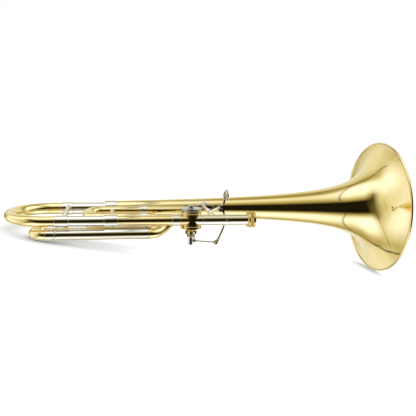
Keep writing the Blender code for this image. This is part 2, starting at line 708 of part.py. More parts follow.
join("bumper_plate", plate_pieces, BRASS, instrument, plate_place)

# Neckpipe, its ring, the slide receiver inside its end and the lock nut
tube("neckpipe", NECKPIPE_START, NECKPIPE_LENGTH, NECKPIPE_RADIUS, TUBE_WALL, NICKEL, instrument)
sleeve("neckpipe_ring", NECK_RING_PLACE, NECK_RING_WIDTH, NECKPIPE_RADIUS + 0.0007,
       NECKPIPE_RADIUS + GAP, NICKEL, instrument)
collar_start = neckpipe_end + GAP
collar_end = nut_start + NUT_LENGTH - 0.0040
receiver_profile = [
    (COLLAR_RADIUS, collar_end - collar_start), (COLLAR_RADIUS, 0.0),
    (NECKPIPE_RADIUS - TUBE_WALL - GAP, 0.0), (NECKPIPE_RADIUS - TUBE_WALL - GAP, -0.0200),
    (NECKPIPE_RADIUS - TUBE_WALL - GAP - 0.0008, -0.0200),
    (COLLAR_RADIUS - 0.0022, collar_end - collar_start),
]
turned("slide_receiver", receiver_profile, (collar_start, 0, 0), (1, 0, 0), NICKEL, instrument)
nut_bore = COLLAR_RADIUS + GAP + 0.0006
nut_profile = [
    (NUT_RADIUS - 0.0022, NUT_LENGTH), (NUT_RADIUS - 0.0012, NUT_LENGTH - 0.0010),
    (NUT_RADIUS - 0.0012, NUT_LENGTH - 0.0038), (NUT_RADIUS - 0.0004, NUT_LENGTH - 0.0042),
    (NUT_RADIUS - 0.0004, 0.0046), (NUT_RADIUS - 0.0014, 0.0042), (NUT_RADIUS - 0.0014, 0.0012),
    (NUT_RADIUS - 0.0024, 0.0), (NECKPIPE_RADIUS + GAP, 0.0),
    (NECKPIPE_RADIUS + GAP, collar_start - nut_start - GAP), (nut_bore, collar_start - nut_start - GAP),
    (nut_bore, NUT_LENGTH),
]
turned("lock_nut", nut_profile, (nut_start, 0, 0), (1, 0, 0), NUT_BRASS, nut_joint, NUT_KNURLS)

# Valve tubing, from the rear port round to the valve slide and back to the front port
upper_path = rounded([(C_BOW_CENTRE + BOW_LEAD + GAP, UPPER_Y, UPPER_Z), (F_PORT_OFFSET, UPPER_Y, UPPER_Z),
                      (F_PORT_OFFSET, KNUCKLE_RADIUS + 2 * GAP, 0.0)], [0.021], 7)
upper = as_mesh(sweep("upper_valve_tube", upper_path, F_BEND_RADIUS, BRASS, instrument,
                      F_SIDES, wall=TUBE_WALL))
boolean(upper, casing_seat)
sleeve("upper_valve_ferrule", UPPER_FERRULE_START, UPPER_FERRULE_LENGTH,
       F_BEND_RADIUS + FERRULE_WALL, F_BEND_RADIUS + GAP, NICKEL, instrument, UPPER_Y, UPPER_Z, F_SIDES)
c_bow = bow((C_BOW_CENTRE, RETURN_Y, RETURN_Z),
            (0, UPPER_Y - RETURN_Y, UPPER_Z - RETURN_Z), 10, BOW_LEAD)
sweep("return_bow", c_bow, F_BEND_RADIUS, BRASS, instrument, F_SIDES, wall=TUBE_WALL)
return_start = C_BOW_CENTRE + BOW_LEAD + GAP
tube("return_leg", return_start, f_outer_end - return_start - GAP, F_BEND_RADIUS,
     TUBE_WALL, BRASS, instrument, RETURN_Y, RETURN_Z, F_SIDES)
sleeve("return_ferrule", f_outer_end - RETURN_FERRULE_LENGTH, RETURN_FERRULE_LENGTH - GAP,
       F_BEND_RADIUS + FERRULE_WALL, F_BEND_RADIUS + GAP, NICKEL, instrument, RETURN_Y, RETURN_Z, F_SIDES)
u_bow = bow((f_outer_end - BOW_LEAD, RETURN_Y, RETURN_Z),
            (0, F_LEG_SPACING - RETURN_Y, F_LEVEL - RETURN_Z), 9, BOW_LEAD)
u_bow = [Vector((2 * f_outer_end - place.x, place.y, place.z)) for place in u_bow]
sweep("rear_valve_bow", u_bow, F_BEND_RADIUS, BRASS, instrument, F_SIDES, wall=TUBE_WALL)
for name, y in (("front", 0.0), ("rear", F_LEG_SPACING)):
    tube(name + "_valve_outer_tube", F_OUTER_START, F_OUTER_LENGTH - GAP, F_RADIUS, TUBE_WALL,
         NICKEL, instrument, y, F_LEVEL, F_SIDES)
    sleeve(name + "_valve_ring", F_OUTER_START + 0.0002, F_RING_LENGTH, F_RADIUS + 0.0008,
           F_RADIUS + GAP, NICKEL, instrument, y, F_LEVEL, F_SIDES)
port_path = [Vector((f_outer_end, 0, F_LEVEL))]
port_path += wound(f_outer_end + PORT_BEND_LEAD, PORT_BEND_END, -F_LEVEL, f_port_y,
                   -math.pi / 2, 0.0, 12)
port_path.append(Vector((-0.002, f_port_y, 0.0)))
port_bend = as_mesh(sweep("front_port_bend", port_path, F_BEND_RADIUS, BRASS, instrument,
                          F_SIDES, wall=TUBE_WALL))
boolean(port_bend, casing_seat)

# Valve slide
f_crook_start = f_ferrule_start + 0.0040
f_crook = bow((f_crook_start - 0.0040, 0, F_LEVEL), (0, F_LEG_SPACING, 0), 12, 0.0040)
sweep("valve_slide_bow", f_crook, F_BEND_RADIUS, BRASS, f_slide, F_SIDES, wall=TUBE_WALL)
for name, y in (("front", 0.0), ("rear", F_LEG_SPACING)):
    f_inner_start = f_crook_start + GAP
    tube(name + "_valve_inner_tube", f_inner_start, f_outer_end - F_SPARE - f_inner_start,
         f_inner_radius, SLIDE_WALL, NICKEL, f_slide, y, F_LEVEL, F_SIDES)
    sleeve(name + "_valve_slide_ferrule", f_ferrule_start + GAP, F_FERRULE_LENGTH - GAP,
           F_BEND_RADIUS + 0.0008, F_BEND_RADIUS + GAP, NICKEL, f_slide, y, F_LEVEL, F_SIDES)

# Tuning slide, whose bow widens from the neckpipe leg to the bell leg
crook_near = neck_inner_radius + SLIDE_WALL
crook_far = bell_inner_radius + SLIDE_WALL
straight = CROOK_STRAIGHT + FERRULE_LENGTH / 2
crook = bow((crook_centre, 0, 0), (0, LEG_SPACING, 0), 16, straight)
crook_radii = [crook_near + (crook_far - crook_near) * step / (len(crook) - 1)
               for step in range(len(crook))]
sweep("tuning_bow", crook, crook_near, BRASS, main_slide, MAIN_SIDES, crook_radii, TUBE_WALL)
crook_end = crook_centre + straight
for name, y, inner, outer in (("neck", 0.0, neck_inner_radius, crook_near),
                              ("bell", LEG_SPACING, bell_inner_radius, crook_far)):
    tube(name + "_inner_tube", crook_end + GAP, OUTER_TUBE_END - SLIDE_SPARE - crook_end - GAP,
         inner, SLIDE_WALL, NICKEL, main_slide, y)
    sleeve(name + "_tuning_ferrule", crook_ferrule_start, FERRULE_LENGTH, outer + FERRULE_WALL,
           outer + GAP, NICKEL, main_slide, y)

# Braces
brace("tuning_slide_brace", (crook_ferrule_start + CROOK_BRACE_PLACE, 0, CROOK_BRACE_Z),
      (crook_ferrule_start + CROOK_BRACE_PLACE, LEG_SPACING, CROOK_BRACE_Z),
      ((0, 0, crook_near + FERRULE_WALL), (LEG_SPACING, 0, crook_far + FERRULE_WALL)),
      NICKEL, main_slide, CROOK_BRACE_RADIUS)
f_brace_place = f_ferrule_start + F_FERRULE_LENGTH / 2
brace("valve_slide_brace", (f_brace_place, 0, F_LEVEL), (f_brace_place, F_LEG_SPACING, F_LEVEL),
      ((0, F_LEVEL, F_BEND_RADIUS + 0.0008), (F_LEG_SPACING, F_LEVEL, F_BEND_RADIUS + 0.0008)),
      NICKEL, f_slide)
brace("valve_leg_brace", (VALVE_BRACE_PLACE, 0, F_LEVEL + 0.0010),
      (VALVE_BRACE_PLACE, F_LEG_SPACING, F_LEVEL + 0.0010),
      ((0, F_LEVEL, F_RADIUS), (F_LEG_SPACING, F_LEVEL, F_RADIUS)), BRASS, instrument)
brace("support_post", (POST_PLACE, 0, F_LEVEL), (POST_PLACE, 0, 0),
      ((0, F_LEVEL, F_RADIUS), (0, 0, neck_ferrule_radius)), BRASS, instrument,
      POST_RADIUS, POST_FOOT)
brace("upper_brace", (POST_PLACE, RETURN_Y, RETURN_Z + 0.0030), (POST_PLACE, UPPER_Y, UPPER_Z + 0.0010),
      ((RETURN_Y, RETURN_Z, F_BEND_RADIUS), (UPPER_Y, UPPER_Z, F_BEND_RADIUS)), NICKEL,
      instrument, BRACE_RADIUS, BELL_BRACE_FOOT)

flange_start = FLANGE_PLACE - FLANGE_LENGTH / 2 - 0.0010
flange_length = FLANGE_LENGTH + 0.0020
flange_profile = []
for step in range(4):
    height = flange_length * (1 - step / 3)
    flange_profile.append((bell_radius(flange_start + height) + GAP + FLANGE_THICKNESS, height))
for step in range(4):
    height = flange_length * step / 3
    flange_profile.append((bell_radius(flange_start + height) + GAP, height))
flange = turned("bell_flange", flange_profile, (flange_start, LEG_SPACING, 0), (1, 0, 0), NICKEL,
                instrument, 48)
outline = []
for step in range(28):
    turn = math.tau * step / 28
    width = abs(math.cos(turn)) ** FLANGE_SHAPE + abs(math.sin(turn)) ** FLANGE_SHAPE
    width **= -1 / FLANGE_SHAPE
    outline.append((FLANGE_LENGTH / 2 * width * math.cos(turn),
                    FLANGE_HEIGHT / 2 * width * math.sin(turn)))
flange_outline = prism("flange_outline", outline, (FLANGE_PLACE, LEG_SPACING - 0.0110, BELL_BRACE_Z),
                       (1, 0, 0), (0, 0, 1), 0.0220, instrument)
boolean(flange, flange_outline, "INTERSECT")
flange_radius = bell_radius(BELL_BRACE_PLACE + BELL_BRACE_FOOT) + 2 * GAP + FLANGE_THICKNESS
brace("bell_brace", (BELL_BRACE_PLACE, 0, BELL_BRACE_Z), (BELL_BRACE_PLACE, LEG_SPACING, BELL_BRACE_Z),
      ((0, 0, NECKPIPE_RADIUS), (LEG_SPACING, 0, flange_radius)), NICKEL, instrument,
      BELL_BRACE_RADIUS, BELL_BRACE_FOOT)

# Thumb lever on its bracket
hinge = Vector(HINGE_PLACE)
barrel_half = Vector((0, HINGE_BARREL_LENGTH / 2, 0))
up = Vector((0, math.cos(BRACKET_ANGLE), math.sin(BRACKET_ANGLE)))
foot_place = Vector((BRACKET_PLACE, 0, 0)) + up * (NECKPIPE_RADIUS - 0.0010)
bracket_foot = turned("bracket_foot", [(0.0, 0.0030), (0.0020, 0.0030), (0.0034, 0.0022),
                                       (0.0034, 0.0), (0.0, 0.0)],
                      foot_place, up, None, instrument, 12, True)
bracket_side = Vector((0, -BRACKET_SIDE, 0))
bracket_path = rounded([foot_place + up * 0.0020, foot_place + up * 0.0050,
                        hinge + bracket_side + Vector((-0.0060, 0, 0.0005)), hinge + bracket_side],
                       [0.0040, 0.0030], 3)
bracket_arm = sweep("bracket_arm", bracket_path, BRACKET_RADIUS, None, instrument, 10, cutter=True)
barrel = rod_cutter("hinge_barrel", hinge - barrel_half, hinge + barrel_half,
                    HINGE_BARREL_RADIUS, instrument, 14)
bracket = join("lever_bracket", [barrel, bracket_foot, as_mesh(bracket_arm)], NICKEL, instrument, hinge)
boolean(bracket, rod_cutter("bracket_seat", (BRACKET_PLACE - 0.01, 0, 0), (BRACKET_PLACE + 0.01, 0, 0),
                            NECKPIPE_RADIUS + GAP, instrument))
boolean(bracket, rod_cutter("barrel_bore", hinge - 2 * barrel_half, hinge + 2 * barrel_half,
                            HINGE_PIN_RADIUS + GAP, instrument, 12))
pin_half = barrel_half + Vector((0, LEVER_EAR_THICKNESS + GAP, 0))
pin_length = 2 * pin_half.y + 0.0010
turned("hinge_pin",
       [(0.0, pin_length), (HINGE_PIN_RADIUS, pin_length), (HINGE_PIN_RADIUS, -GAP),
        (HINGE_PIN_RADIUS + 0.0009, -GAP), (HINGE_PIN_RADIUS + 0.0009, -0.0012), (0.0, -0.0012)],
       hinge - pin_half, (0, 1, 0), STEEL, instrument, 12)

bar_place = hinge + Vector((LEVER_BAR_OFFSET[0], 0, LEVER_BAR_OFFSET[1]))
ear_y = Vector((0, HINGE_BARREL_LENGTH / 2 + GAP + LEVER_EAR_THICKNESS / 2, 0))
bar_end = ear_y * 1.02
lever_pieces = [as_mesh(sweep("lever_bar", [bar_place - bar_end, bar_place + bar_end], 0.0017,
                              None, instrument, 10, cutter=True))]
for side in (-1, 1):
    middle = hinge + side * ear_y
    half = Vector((0, LEVER_EAR_THICKNESS / 2, 0))
    lever_pieces.append(rod_cutter("ear_" + str(side), middle - half, middle + half,
                                   LEVER_EAR_RADIUS, instrument, 14))
web = block("ear_web", (hinge + bar_place) / 2 + ear_y,
            ((bar_place - hinge).length, LEVER_EAR_THICKNESS * 0.8, 0.0032), instrument)
web.rotation_euler.y = -math.atan2(LEVER_BAR_OFFSET[1], LEVER_BAR_OFFSET[0])
lever_pieces.append(web)
lever_pieces.append(prism("ear_cheek", LEVER_CHEEK, hinge - ear_y, (1, 0, 0), (0, 0, 1),
                          LEVER_EAR_THICKNESS * 0.9, instrument))
ball = Vector(LEVER_BALL)
paddle = Vector(PADDLE_PLACE)
paddle_up = Vector((PADDLE_LEAN, 0, 1)).normalized()
stem_bend = hinge + Vector((LEVER_STEM_BEND[0], 0, LEVER_STEM_BEND[1]))
stem_end = paddle + Vector((-0.0004, 0.0003, 0))
stem_path = rounded([bar_place, stem_bend, stem_end - paddle_up * PADDLE_LENGTH * 0.45,
                     stem_end - paddle_up * PADDLE_LENGTH / 6], [0.012, 0.010], 3)
arm_end = ball - Vector((0, STUD_LENGTH, 0))
arm_top = hinge - ear_y + Vector((LEVER_ARM_TOP[0], 0, LEVER_ARM_TOP[1]))
shoulder = hinge - ear_y + Vector((LEVER_ARM_SHOULDER[0], 0, LEVER_ARM_SHOULDER[1]))
knee = Vector((hinge.x + LEVER_ARM_KNEE[0], (arm_top.y + arm_end.y) / 2, hinge.z + LEVER_ARM_KNEE[1]))
arm_path = rounded([arm_top, shoulder, knee, arm_end], [0.014, 0.020], 4)
lever_pieces.append(as_mesh(sweep("lever_stud", [arm_end - Vector((0, 0.0012, 0)), ball], 0.0014,
                                  None, instrument, 10, cutter=True)))
lever_pieces.append(as_mesh(sweep("lever_stem", stem_path, LEVER_STEM_RADIUS, None, instrument, 10,
                                  cutter=True)))
lever_pieces.append(as_mesh(sweep("lever_arm", arm_path, LEVER_ARM_RADIUS, None, instrument, 10,
                                  cutter=True)))
arm_along = (knee - arm_end).normalized()
lever_pieces.append(rod_cutter("arm_collar", arm_end + arm_along * 0.0010,
                               arm_end + arm_along * LEVER_COLLAR_LENGTH, LEVER_COLLAR_RADIUS,
                               instrument, 12))
leaf = []
for side in (1, -1):
    for step in range(8):
        part = step / 8 if side == 1 else 1 - step / 8
        width = PADDLE_WIDTH / 2 * math.sin(math.pi * part ** 0.75) ** 0.7 if 0 < part < 1 else 0.0
        leaf.append((side * width, PADDLE_LENGTH * (part - 0.5)))
lever_pieces.append(prism("paddle_leaf", leaf, paddle,
                          (-math.sin(PADDLE_TURN), math.cos(PADDLE_TURN), 0), paddle_up,
                          PADDLE_THICKNESS, instrument))
knob_profile = [(0.0, LEVER_BALL_RADIUS)]
for step in range(1, 6):
    turn = math.pi * step / 6
    knob_profile.append((LEVER_BALL_RADIUS * math.sin(turn), LEVER_BALL_RADIUS * math.cos(turn)))
knob_profile.append((0.0, -LEVER_BALL_RADIUS))
lever_pieces.append(turned("lever_knob", knob_profile, ball, (0, 1, 0), None, instrument, 12, True))
lever = join("thumb_lever", lever_pieces, NICKEL, lever_joint, hinge)
boolean(lever, rod_cutter("ear_bore", hinge - 2 * barrel_half, hinge + 2 * barrel_half,
                          HINGE_PIN_RADIUS + GAP, instrument, 12))

# Return spring on the barrel. Its free leg is drawn where the pressed lever bends it to.
spring_path = []
spring_turn = SPRING_END - SPRING_START + math.tau * (SPRING_CURLS + 1)
spring_steps = round(spring_turn / math.tau * SPRING_CURL_POINTS)
for step in range(spring_steps + 1):
    part = step / spring_steps
    angle = SPRING_START + spring_turn * part
    along = SPRING_SPAN[0] + (SPRING_SPAN[1] - SPRING_SPAN[0]) * part
    spring_path.append(hinge + Vector((SPRING_RADIUS * math.cos(angle), along,
                                       SPRING_RADIUS * math.sin(angle))))
for place, angle, leg in ((0, SPRING_START, -SPRING_LEGS[0]), (-1, SPRING_END, SPRING_LEGS[1])):
    tip = spring_path[place] + leg * Vector((-math.sin(angle), 0, math.cos(angle)))
    spring_path.insert(0 if place == 0 else len(spring_path), tip)
sweep("lever_spring", spring_path, SPRING_WIRE, STEEL, instrument, 6)

# Link from the lever's ball to the stop arm's pin
eye = Vector((pin_place.x, PIN_EYE_Y, BALL_LEVEL))
eye_bore = PIN_RADIUS + OPEN_PIVOT_CLEARANCE
ball_bore = LEVER_BALL_RADIUS + GAP
aim = (eye - ball).normalized()
half_width = Vector((0, LINK_EYE_WIDTH / 2, 0))
ball_eye = rod_cutter("ball_eye", ball - half_width, ball + half_width, ball_bore + LINK_EYE_WALL,
                      instrument, 16)
pin_eye = rod_cutter("pin_eye", eye - Vector((0, 0, LINK_EYE_WIDTH / 2)),
                     eye + Vector((0, 0, LINK_EYE_WIDTH / 2)), eye_bore + LINK_EYE_WALL, instrument, 16)
shaft = as_mesh(sweep("link_shaft", [ball + aim * (ball_bore + LINK_EYE_WALL / 2),
                                     eye - aim * (eye_bore + LINK_EYE_WALL / 2)],
                      LINK_RADIUS, None, instrument, 10, cutter=True))
link = join("link_rod", [ball_eye, pin_eye, shaft], STEEL, link_joint, ball)
boolean(link, rod_cutter("ball_bore", ball - 2 * half_width, ball + 2 * half_width, ball_bore,
                         instrument, 12))
boolean(link, rod_cutter("pin_bore", eye - Vector((0, 0, 0.005)), eye + Vector((0, 0, 0.005)),
                         eye_bore, instrument, 12))

instrument.rotation_euler = (0, -lean_angle(), 0)
stand(instrument, [item for item in bpy.data.collections["bass_trombone"].objects
                   if item.type in {"MESH", "CURVE"}])
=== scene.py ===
"""Looks, light and camera for the bass trombone's bell section."""

import json
import math

import bmesh
import bpy
from mathutils import Matrix, Vector


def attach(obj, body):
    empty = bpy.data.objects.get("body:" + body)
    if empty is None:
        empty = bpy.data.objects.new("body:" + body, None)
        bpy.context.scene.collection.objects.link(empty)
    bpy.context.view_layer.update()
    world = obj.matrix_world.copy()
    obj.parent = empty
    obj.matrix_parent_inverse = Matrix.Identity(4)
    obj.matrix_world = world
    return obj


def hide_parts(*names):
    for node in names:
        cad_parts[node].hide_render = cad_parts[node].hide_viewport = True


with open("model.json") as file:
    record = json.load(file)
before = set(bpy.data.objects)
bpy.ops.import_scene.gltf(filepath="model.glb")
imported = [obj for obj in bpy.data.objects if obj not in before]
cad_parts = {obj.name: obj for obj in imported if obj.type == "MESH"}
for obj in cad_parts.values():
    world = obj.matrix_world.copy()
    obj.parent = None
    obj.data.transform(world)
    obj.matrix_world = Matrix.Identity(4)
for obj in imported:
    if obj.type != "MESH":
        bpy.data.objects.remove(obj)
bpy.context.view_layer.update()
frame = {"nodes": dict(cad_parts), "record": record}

nodes = frame["nodes"]
behaviour = frame["record"]["behaviour"]
joints = {joint["name"]: joint for joint in behaviour["joints"]}
body_of = {node: body for body, members in behaviour["bodies"].items() for node in members}

# The level frame: X along the tubes, Z out of the plane of the legs, origin on the
# neckpipe line beside the rotor's axis. Its Y is the scene's Y.
ALONG, ACROSS, UPWARD = Vector((1, 0, 0)), Vector((0, 1, 0)), Vector((0, 0, 1))
ROTOR_OFFSET = 0.0076
origin = Vector(joints["rotor_turn"]["pos_m"]) - ACROSS * ROTOR_OFFSET
turn = Matrix((Vector(joints["lock_nut_turn"]["axis"]).normalized(), ACROSS,
               Vector(joints["rotor_turn"]["axis"]).normalized())).transposed()


def level(x, y, z):
    """A point of the level frame, in the scene's frame."""
    return origin + turn @ Vector((x, y, z))


def new_object(name, data):
    made = bpy.data.objects.new(name, data)
    bpy.context.scene.collection.objects.link(made)
    return made


# Camera: its place in the level frame, and its yaw, pitch and roll in degrees
CAMERA_PLACE = (-0.1199, -0.75785, 0.14654)
CAMERA_TURNS = (10.838, -9.401, 1.500)
CAMERA_LENS = 43.865


def add_camera():
    yaw, pitch, roll = (math.radians(angle) for angle in CAMERA_TURNS)
    forward = Vector((math.sin(yaw) * math.cos(pitch), math.cos(yaw) * math.cos(pitch),
                      math.sin(pitch)))
    right = Vector((math.cos(yaw), -math.sin(yaw), 0.0))
    up = right.cross(forward)
    right, up = (math.cos(roll) * right + math.sin(roll) * up,
                 math.cos(roll) * up - math.sin(roll) * right)
    data = bpy.data.cameras.new("camera")
    data.lens = CAMERA_LENS
    data.sensor_width = 36.0
    data.clip_start = 0.05
    data.clip_end = 50.0
    camera = new_object("camera", data)
    pose = turn @ Matrix((right, up, -forward)).transposed()
    camera.matrix_world = Matrix.Translation(level(*CAMERA_PLACE)) @ pose.to_4x4()
    bpy.context.scene.camera = camera


add_camera()


# Materials
class Nodes:
    """Adds nodes to a tree. Each input is given a value or another node's output."""

    def __init__(self, tree):
        self.tree = tree

    def fill(self, node, inputs):
        for name, value in inputs.items():
            if isinstance(value, bpy.types.NodeSocket):
                self.tree.links.new(value, node.inputs[name])
            else:
                node.inputs[name].default_value = value

    def add(self, kind, inputs=None, **fields):
        node = self.tree.nodes.new(kind)
        for name, value in fields.items():
            setattr(node, name, value)
        self.fill(node, inputs or {})
        return node

    def calc(self, operation, *values):
        made = self.add("ShaderNodeMath", dict(enumerate(values)), operation=operation)
        return made.outputs["Value"]

    def mapped(self, value, low, high, to_low=0.0, to_high=1.0, **fields):
        made = self.add("ShaderNodeMapRange", {"Value": value, "From Min": low, "From Max": high,
                                               "To Min": to_low, "To Max": to_high}, **fields)
        return made.outputs["Result"]

    def mixed(self, share, first, second):
        made = self.add("ShaderNodeMix", data_type="RGBA")
        self.fill(made, {"Factor": share, "A": first, "B": second})
        return made.outputs["Result"]

    def scaled(self, vector, share):
        made = self.add("ShaderNodeVectorMath", {0: vector, "Scale": share}, operation="SCALE")
        return made.outputs["Vector"]

    def noise(self, place, scale, detail, roughness=0.5):
        made = self.add("ShaderNodeTexNoise", {"Vector": place, "Scale": scale, "Detail": detail,
                                               "Roughness": roughness})
        return made.outputs["Fac"]

    def ramp(self, value, stops):
        """Colours by a value from 0 to 1, given as pairs of value and colour."""
        made = self.add("ShaderNodeValToRGB", {"Fac": value})
        elements = made.color_ramp.elements
        for number, (spot, colour) in enumerate(stops):
            stop = elements[number] if number < 2 else elements.new(spot)
            stop.position = spot
            stop.color = (*colour, 1.0)
        return made.outputs["Color"]


def new_material(name):
    made = bpy.data.materials.new(name)
    made.use_nodes = True
    return made, Nodes(made.node_tree), made.node_tree.nodes["Principled BSDF"]


def metal(name, colour, tint, roughness, rough_spread, scratch, coat=0.0,
          grain=(60.0, 900.0, 900.0)):
    """Polished metal: slow change of tone, hairline polishing marks and fine haze."""
    made, tree, shader = new_material(name)
    place = tree.add("ShaderNodeTexCoord").outputs["Object"]
    slow = tree.mapped(tree.noise(place, 14.0, 4.0, 0.6), 0.35, 0.70)
    haze = tree.mapped(tree.noise(place, 90.0, 3.0), 0.3, 0.7, roughness, roughness + rough_spread)
    stretch = tree.add("ShaderNodeMapping", {"Vector": place, "Scale": grain})
    bump = tree.add("ShaderNodeBump", {"Strength": scratch, "Distance": 0.0001,
                                       "Height": tree.noise(stretch.outputs["Vector"], 1.0, 2.0)})
    tree.fill(shader, {"Base Color": tree.mixed(slow, (*colour, 1.0), (*tint, 1.0)),
                       "Metallic": 1.0, "Roughness": haze, "Normal": bump.outputs["Normal"],
                       "Coat Weight": coat, "Coat Roughness": 0.03, "Coat IOR": 1.5})
    return made


def rubber_material():
    made, tree, shader = new_material("bumper_rubber")
    grains = tree.noise(tree.add("ShaderNodeTexCoord").outputs["Object"], 900.0, 4.0)
    tone = tree.ramp(grains, [(0.0, (0.020, 0.015, 0.010)), (1.0, (0.070, 0.055, 0.040))])
    tree.fill(shader, {"Base Color": tone, "Roughness": 0.75})
    return made


brass = metal("lacquered_brass", (0.90, 0.72, 0.33), (0.87, 0.69, 0.30), 0.03, 0.02, 0.02, 0.3)
nickel = metal("polished_nickel", (0.84, 0.78, 0.63), (0.80, 0.73, 0.57), 0.04, 0.04, 0.03)
valve_brass = metal("valve_brass", (0.86, 0.65, 0.28), (0.79, 0.58, 0.23), 0.04, 0.03, 0.02, 0.3)
# dim_nickel is the polished nickel made darker: painted shade that makes the valve cap, stop arm
# and bell flange look darker than the tubes
dim_nickel = metal("dim_nickel", (0.58, 0.54, 0.48), (0.46, 0.42, 0.36), 0.05, 0.05, 0.04)
lever_metal = metal("lever_metal", (0.52, 0.45, 0.33), (0.43, 0.36, 0.25), 0.06, 0.05, 0.04)
bracket_metal = metal("bracket_metal", (0.80, 0.68, 0.45), (0.74, 0.62, 0.38), 0.05, 0.04, 0.03)
steel = metal("linkage_steel", (0.40, 0.34, 0.23), (0.32, 0.26, 0.17), 0.08, 0.05, 0.05)
nut_brass = metal("nut_brass", (0.74, 0.52, 0.18), (0.66, 0.44, 0.14), 0.10, 0.05, 0.03,
                  grain=(700.0, 700.0, 700.0))
rubber = rubber_material()

looks = {node: brass for node in nodes}
for look, names in (
        (nickel, """bell_ferrule bell_leg_outer_tube neck_leg_outer_tube neck_ferrule valve_ferrule
                    neckpipe_knuckle neckpipe neckpipe_ring slide_receiver upper_valve_ferrule
                    return_ferrule front_valve_outer_tube rear_valve_outer_tube front_valve_ring
                    rear_valve_ring front_valve_inner_tube rear_valve_inner_tube
                    front_valve_slide_ferrule rear_valve_slide_ferrule neck_inner_tube
                    bell_inner_tube neck_tuning_ferrule bell_tuning_ferrule tuning_slide_brace
                    valve_slide_brace upper_brace bell_brace"""),
        # The rolled rim takes the more orange valve brass as a painted reflection: the orange of
        # the bell's brass mirrored in the rim
        (valve_brass, "valve_casing bearing_plate gooseneck_knuckle bell_rim_bead"),
        (dim_nickel, "valve_cap stop_arm bell_flange"),
        (lever_metal, "thumb_lever"),
        (bracket_metal, "lever_bracket"),
        (steel, "hinge_pin link_rod lever_spring"),
        (nut_brass, "lock_nut"),
        (rubber, "bumper_left bumper_right")):
    for name in names.split():
        looks[name] = look
for name, node in nodes.items():
    node.data.materials.clear()
    node.data.materials.append(looks[name])

# Pieces that the tubes and the bell in the photo don't mirror
UNMIRRORED = """neck_leg_outer_tube neck_ferrule gooseneck valve_ferrule gooseneck_knuckle
    neckpipe_knuckle neckpipe neckpipe_ring lock_nut thumb_lever lever_bracket hinge_pin link_rod
    lever_spring stop_arm valve_casing bearing_plate bumper_left bumper_right
    slide_receiver""".split()

# Shapes. Lengths repeat the solids' driving dimensions, in metres, in the level frame.
GAP = 0.0003
LEG_SPACING = 0.115
TUBE_WALL = 0.0007
SLIDE_WALL = 0.0006
FERRULE_WALL = 0.0009
RING_WALL = 0.0007
FERRULE_LENGTH = 0.0199
NECK_OUTER_RADIUS = 0.0083
NECK_OUTER_LENGTH = 0.0610
BELL_OUTER_RADIUS = 0.0102
BELL_OUTER_LENGTH = 0.0705
OUTER_START = -0.1828
OUTER_END = -0.1313
FERRULE_END = -0.1123
INNER_START, INNER_LENGTH = -0.1932, 0.0609
CROOK_FERRULE_START, CROOK_FERRULE_LENGTH = -0.2030, 0.0190
CROOK_CENTRE = -0.2175
NECK_INNER_RADIUS = NECK_OUTER_RADIUS - TUBE_WALL - GAP
BELL_INNER_RADIUS = BELL_OUTER_RADIUS - TUBE_WALL - GAP
CROOK_NEAR = NECK_INNER_RADIUS + SLIDE_WALL
CROOK_FAR = BELL_INNER_RADIUS + SLIDE_WALL
GOOSENECK_RADIUS = 0.0079
GOOSENECK_START, GOOSENECK_END = -0.1215, -0.0245
KNUCKLE_RADIUS = 0.0080
KNUCKLES = (("knuckle_in", "gooseneck_knuckle", -0.0242, -0.001),
            ("knuckle_out", "neckpipe_knuckle", 0.001, 0.0169))
VALVE_FERRULE_START, VALVE_FERRULE_LENGTH = -0.0306, 0.0122
NECKPIPE_RADIUS = 0.0083
NECKPIPE_START = 0.0172
NECKPIPE_END = 0.0892
NECKPIPE_RING_START, NECKPIPE_RING_LENGTH = 0.0531, 0.0022
BELL_RADIUS = 0.12065
RIM_PLACE = 0.3710
BEAD = 0.0021
BELL_SHEET = 0.0008
BELL_RINGS = 120
BELL_RING_POWER = 2.2         # above 1, it sets the rings closer towards the rim
F_RADIUS = 0.0082
F_BEND_RADIUS = 0.0077
F_LEGS = 0.036
F_LEVEL = -0.0203
F_OUTER_START = -0.2040
F_OUTER_END = -0.0665
F_OUTER_LENGTH = 0.1372
F_INNER_START, F_INNER_LENGTH = -0.2127, 0.1367
F_FERRULE_START, F_FERRULE_LENGTH = -0.2170, 0.0119
F_FERRULE_WALL = 0.0008
F_RING_LENGTH = 0.0026
RETURN_Y, RETURN_Z = 0.0184, 0.0010
RETURN_END = -0.0665
RETURN_FERRULE_LENGTH = 0.0107
UPPER_Y, UPPER_Z = 0.0604, 0.0045
UPPER_START = -0.1345
UPPER_FERRULE_START, UPPER_FERRULE_LENGTH = -0.0763, 0.0131
UPPER_BEND = 0.021
C_BOW_CENTRE = -0.1368
BOW_LEAD = 0.002
F_PORT = 0.0094
PORT_Y = 0.0170
CASING_OUTER = 0.0158
CASING_SEAT = ((0, ROTOR_OFFSET, -0.03), (0, ROTOR_OFFSET, 0.03), CASING_OUTER + GAP)
BRACE_FLARE = 0.0046          # how far up its rod a brace's foot can reach
BRACE_SKIRT = 0.42            # share of the foot's height before it narrows
CUT_REACH = 0.02              # half the length of the cylinders that shape a brace's feet
FOOT_SINK = 1.6               # at 2 the edge of a foot would just meet its tube, less sinks it

# The bell: radius = FLARE_SIZE * (1 + depth / FLARE_DEPTH) ** -FLARE_POWER - FLARE_SINK, with
# the depth measured from the rim
FLARE_SIZE, FLARE_DEPTH, FLARE_POWER, FLARE_SINK = 0.12367, 0.01848, 0.621, 0.00302


def bell_radius(x):
    return FLARE_SIZE * (1 + (RIM_PLACE - x) / FLARE_DEPTH) ** -FLARE_POWER - FLARE_SINK


def weigh_normals(piece):
    """The piece's mesh with normals led by its large faces, not by the roundings beside them."""
    leading = piece.modifiers.new("large faces lead", "WEIGHTED_NORMAL")
    leading.keep_sharp = True
    leading.weight = 65
    bpy.context.view_layer.update()
    shape = piece.evaluated_get(bpy.context.evaluated_depsgraph_get())
    mesh = bpy.data.meshes.new_from_object(shape)
    piece.modifiers.clear()
    return mesh


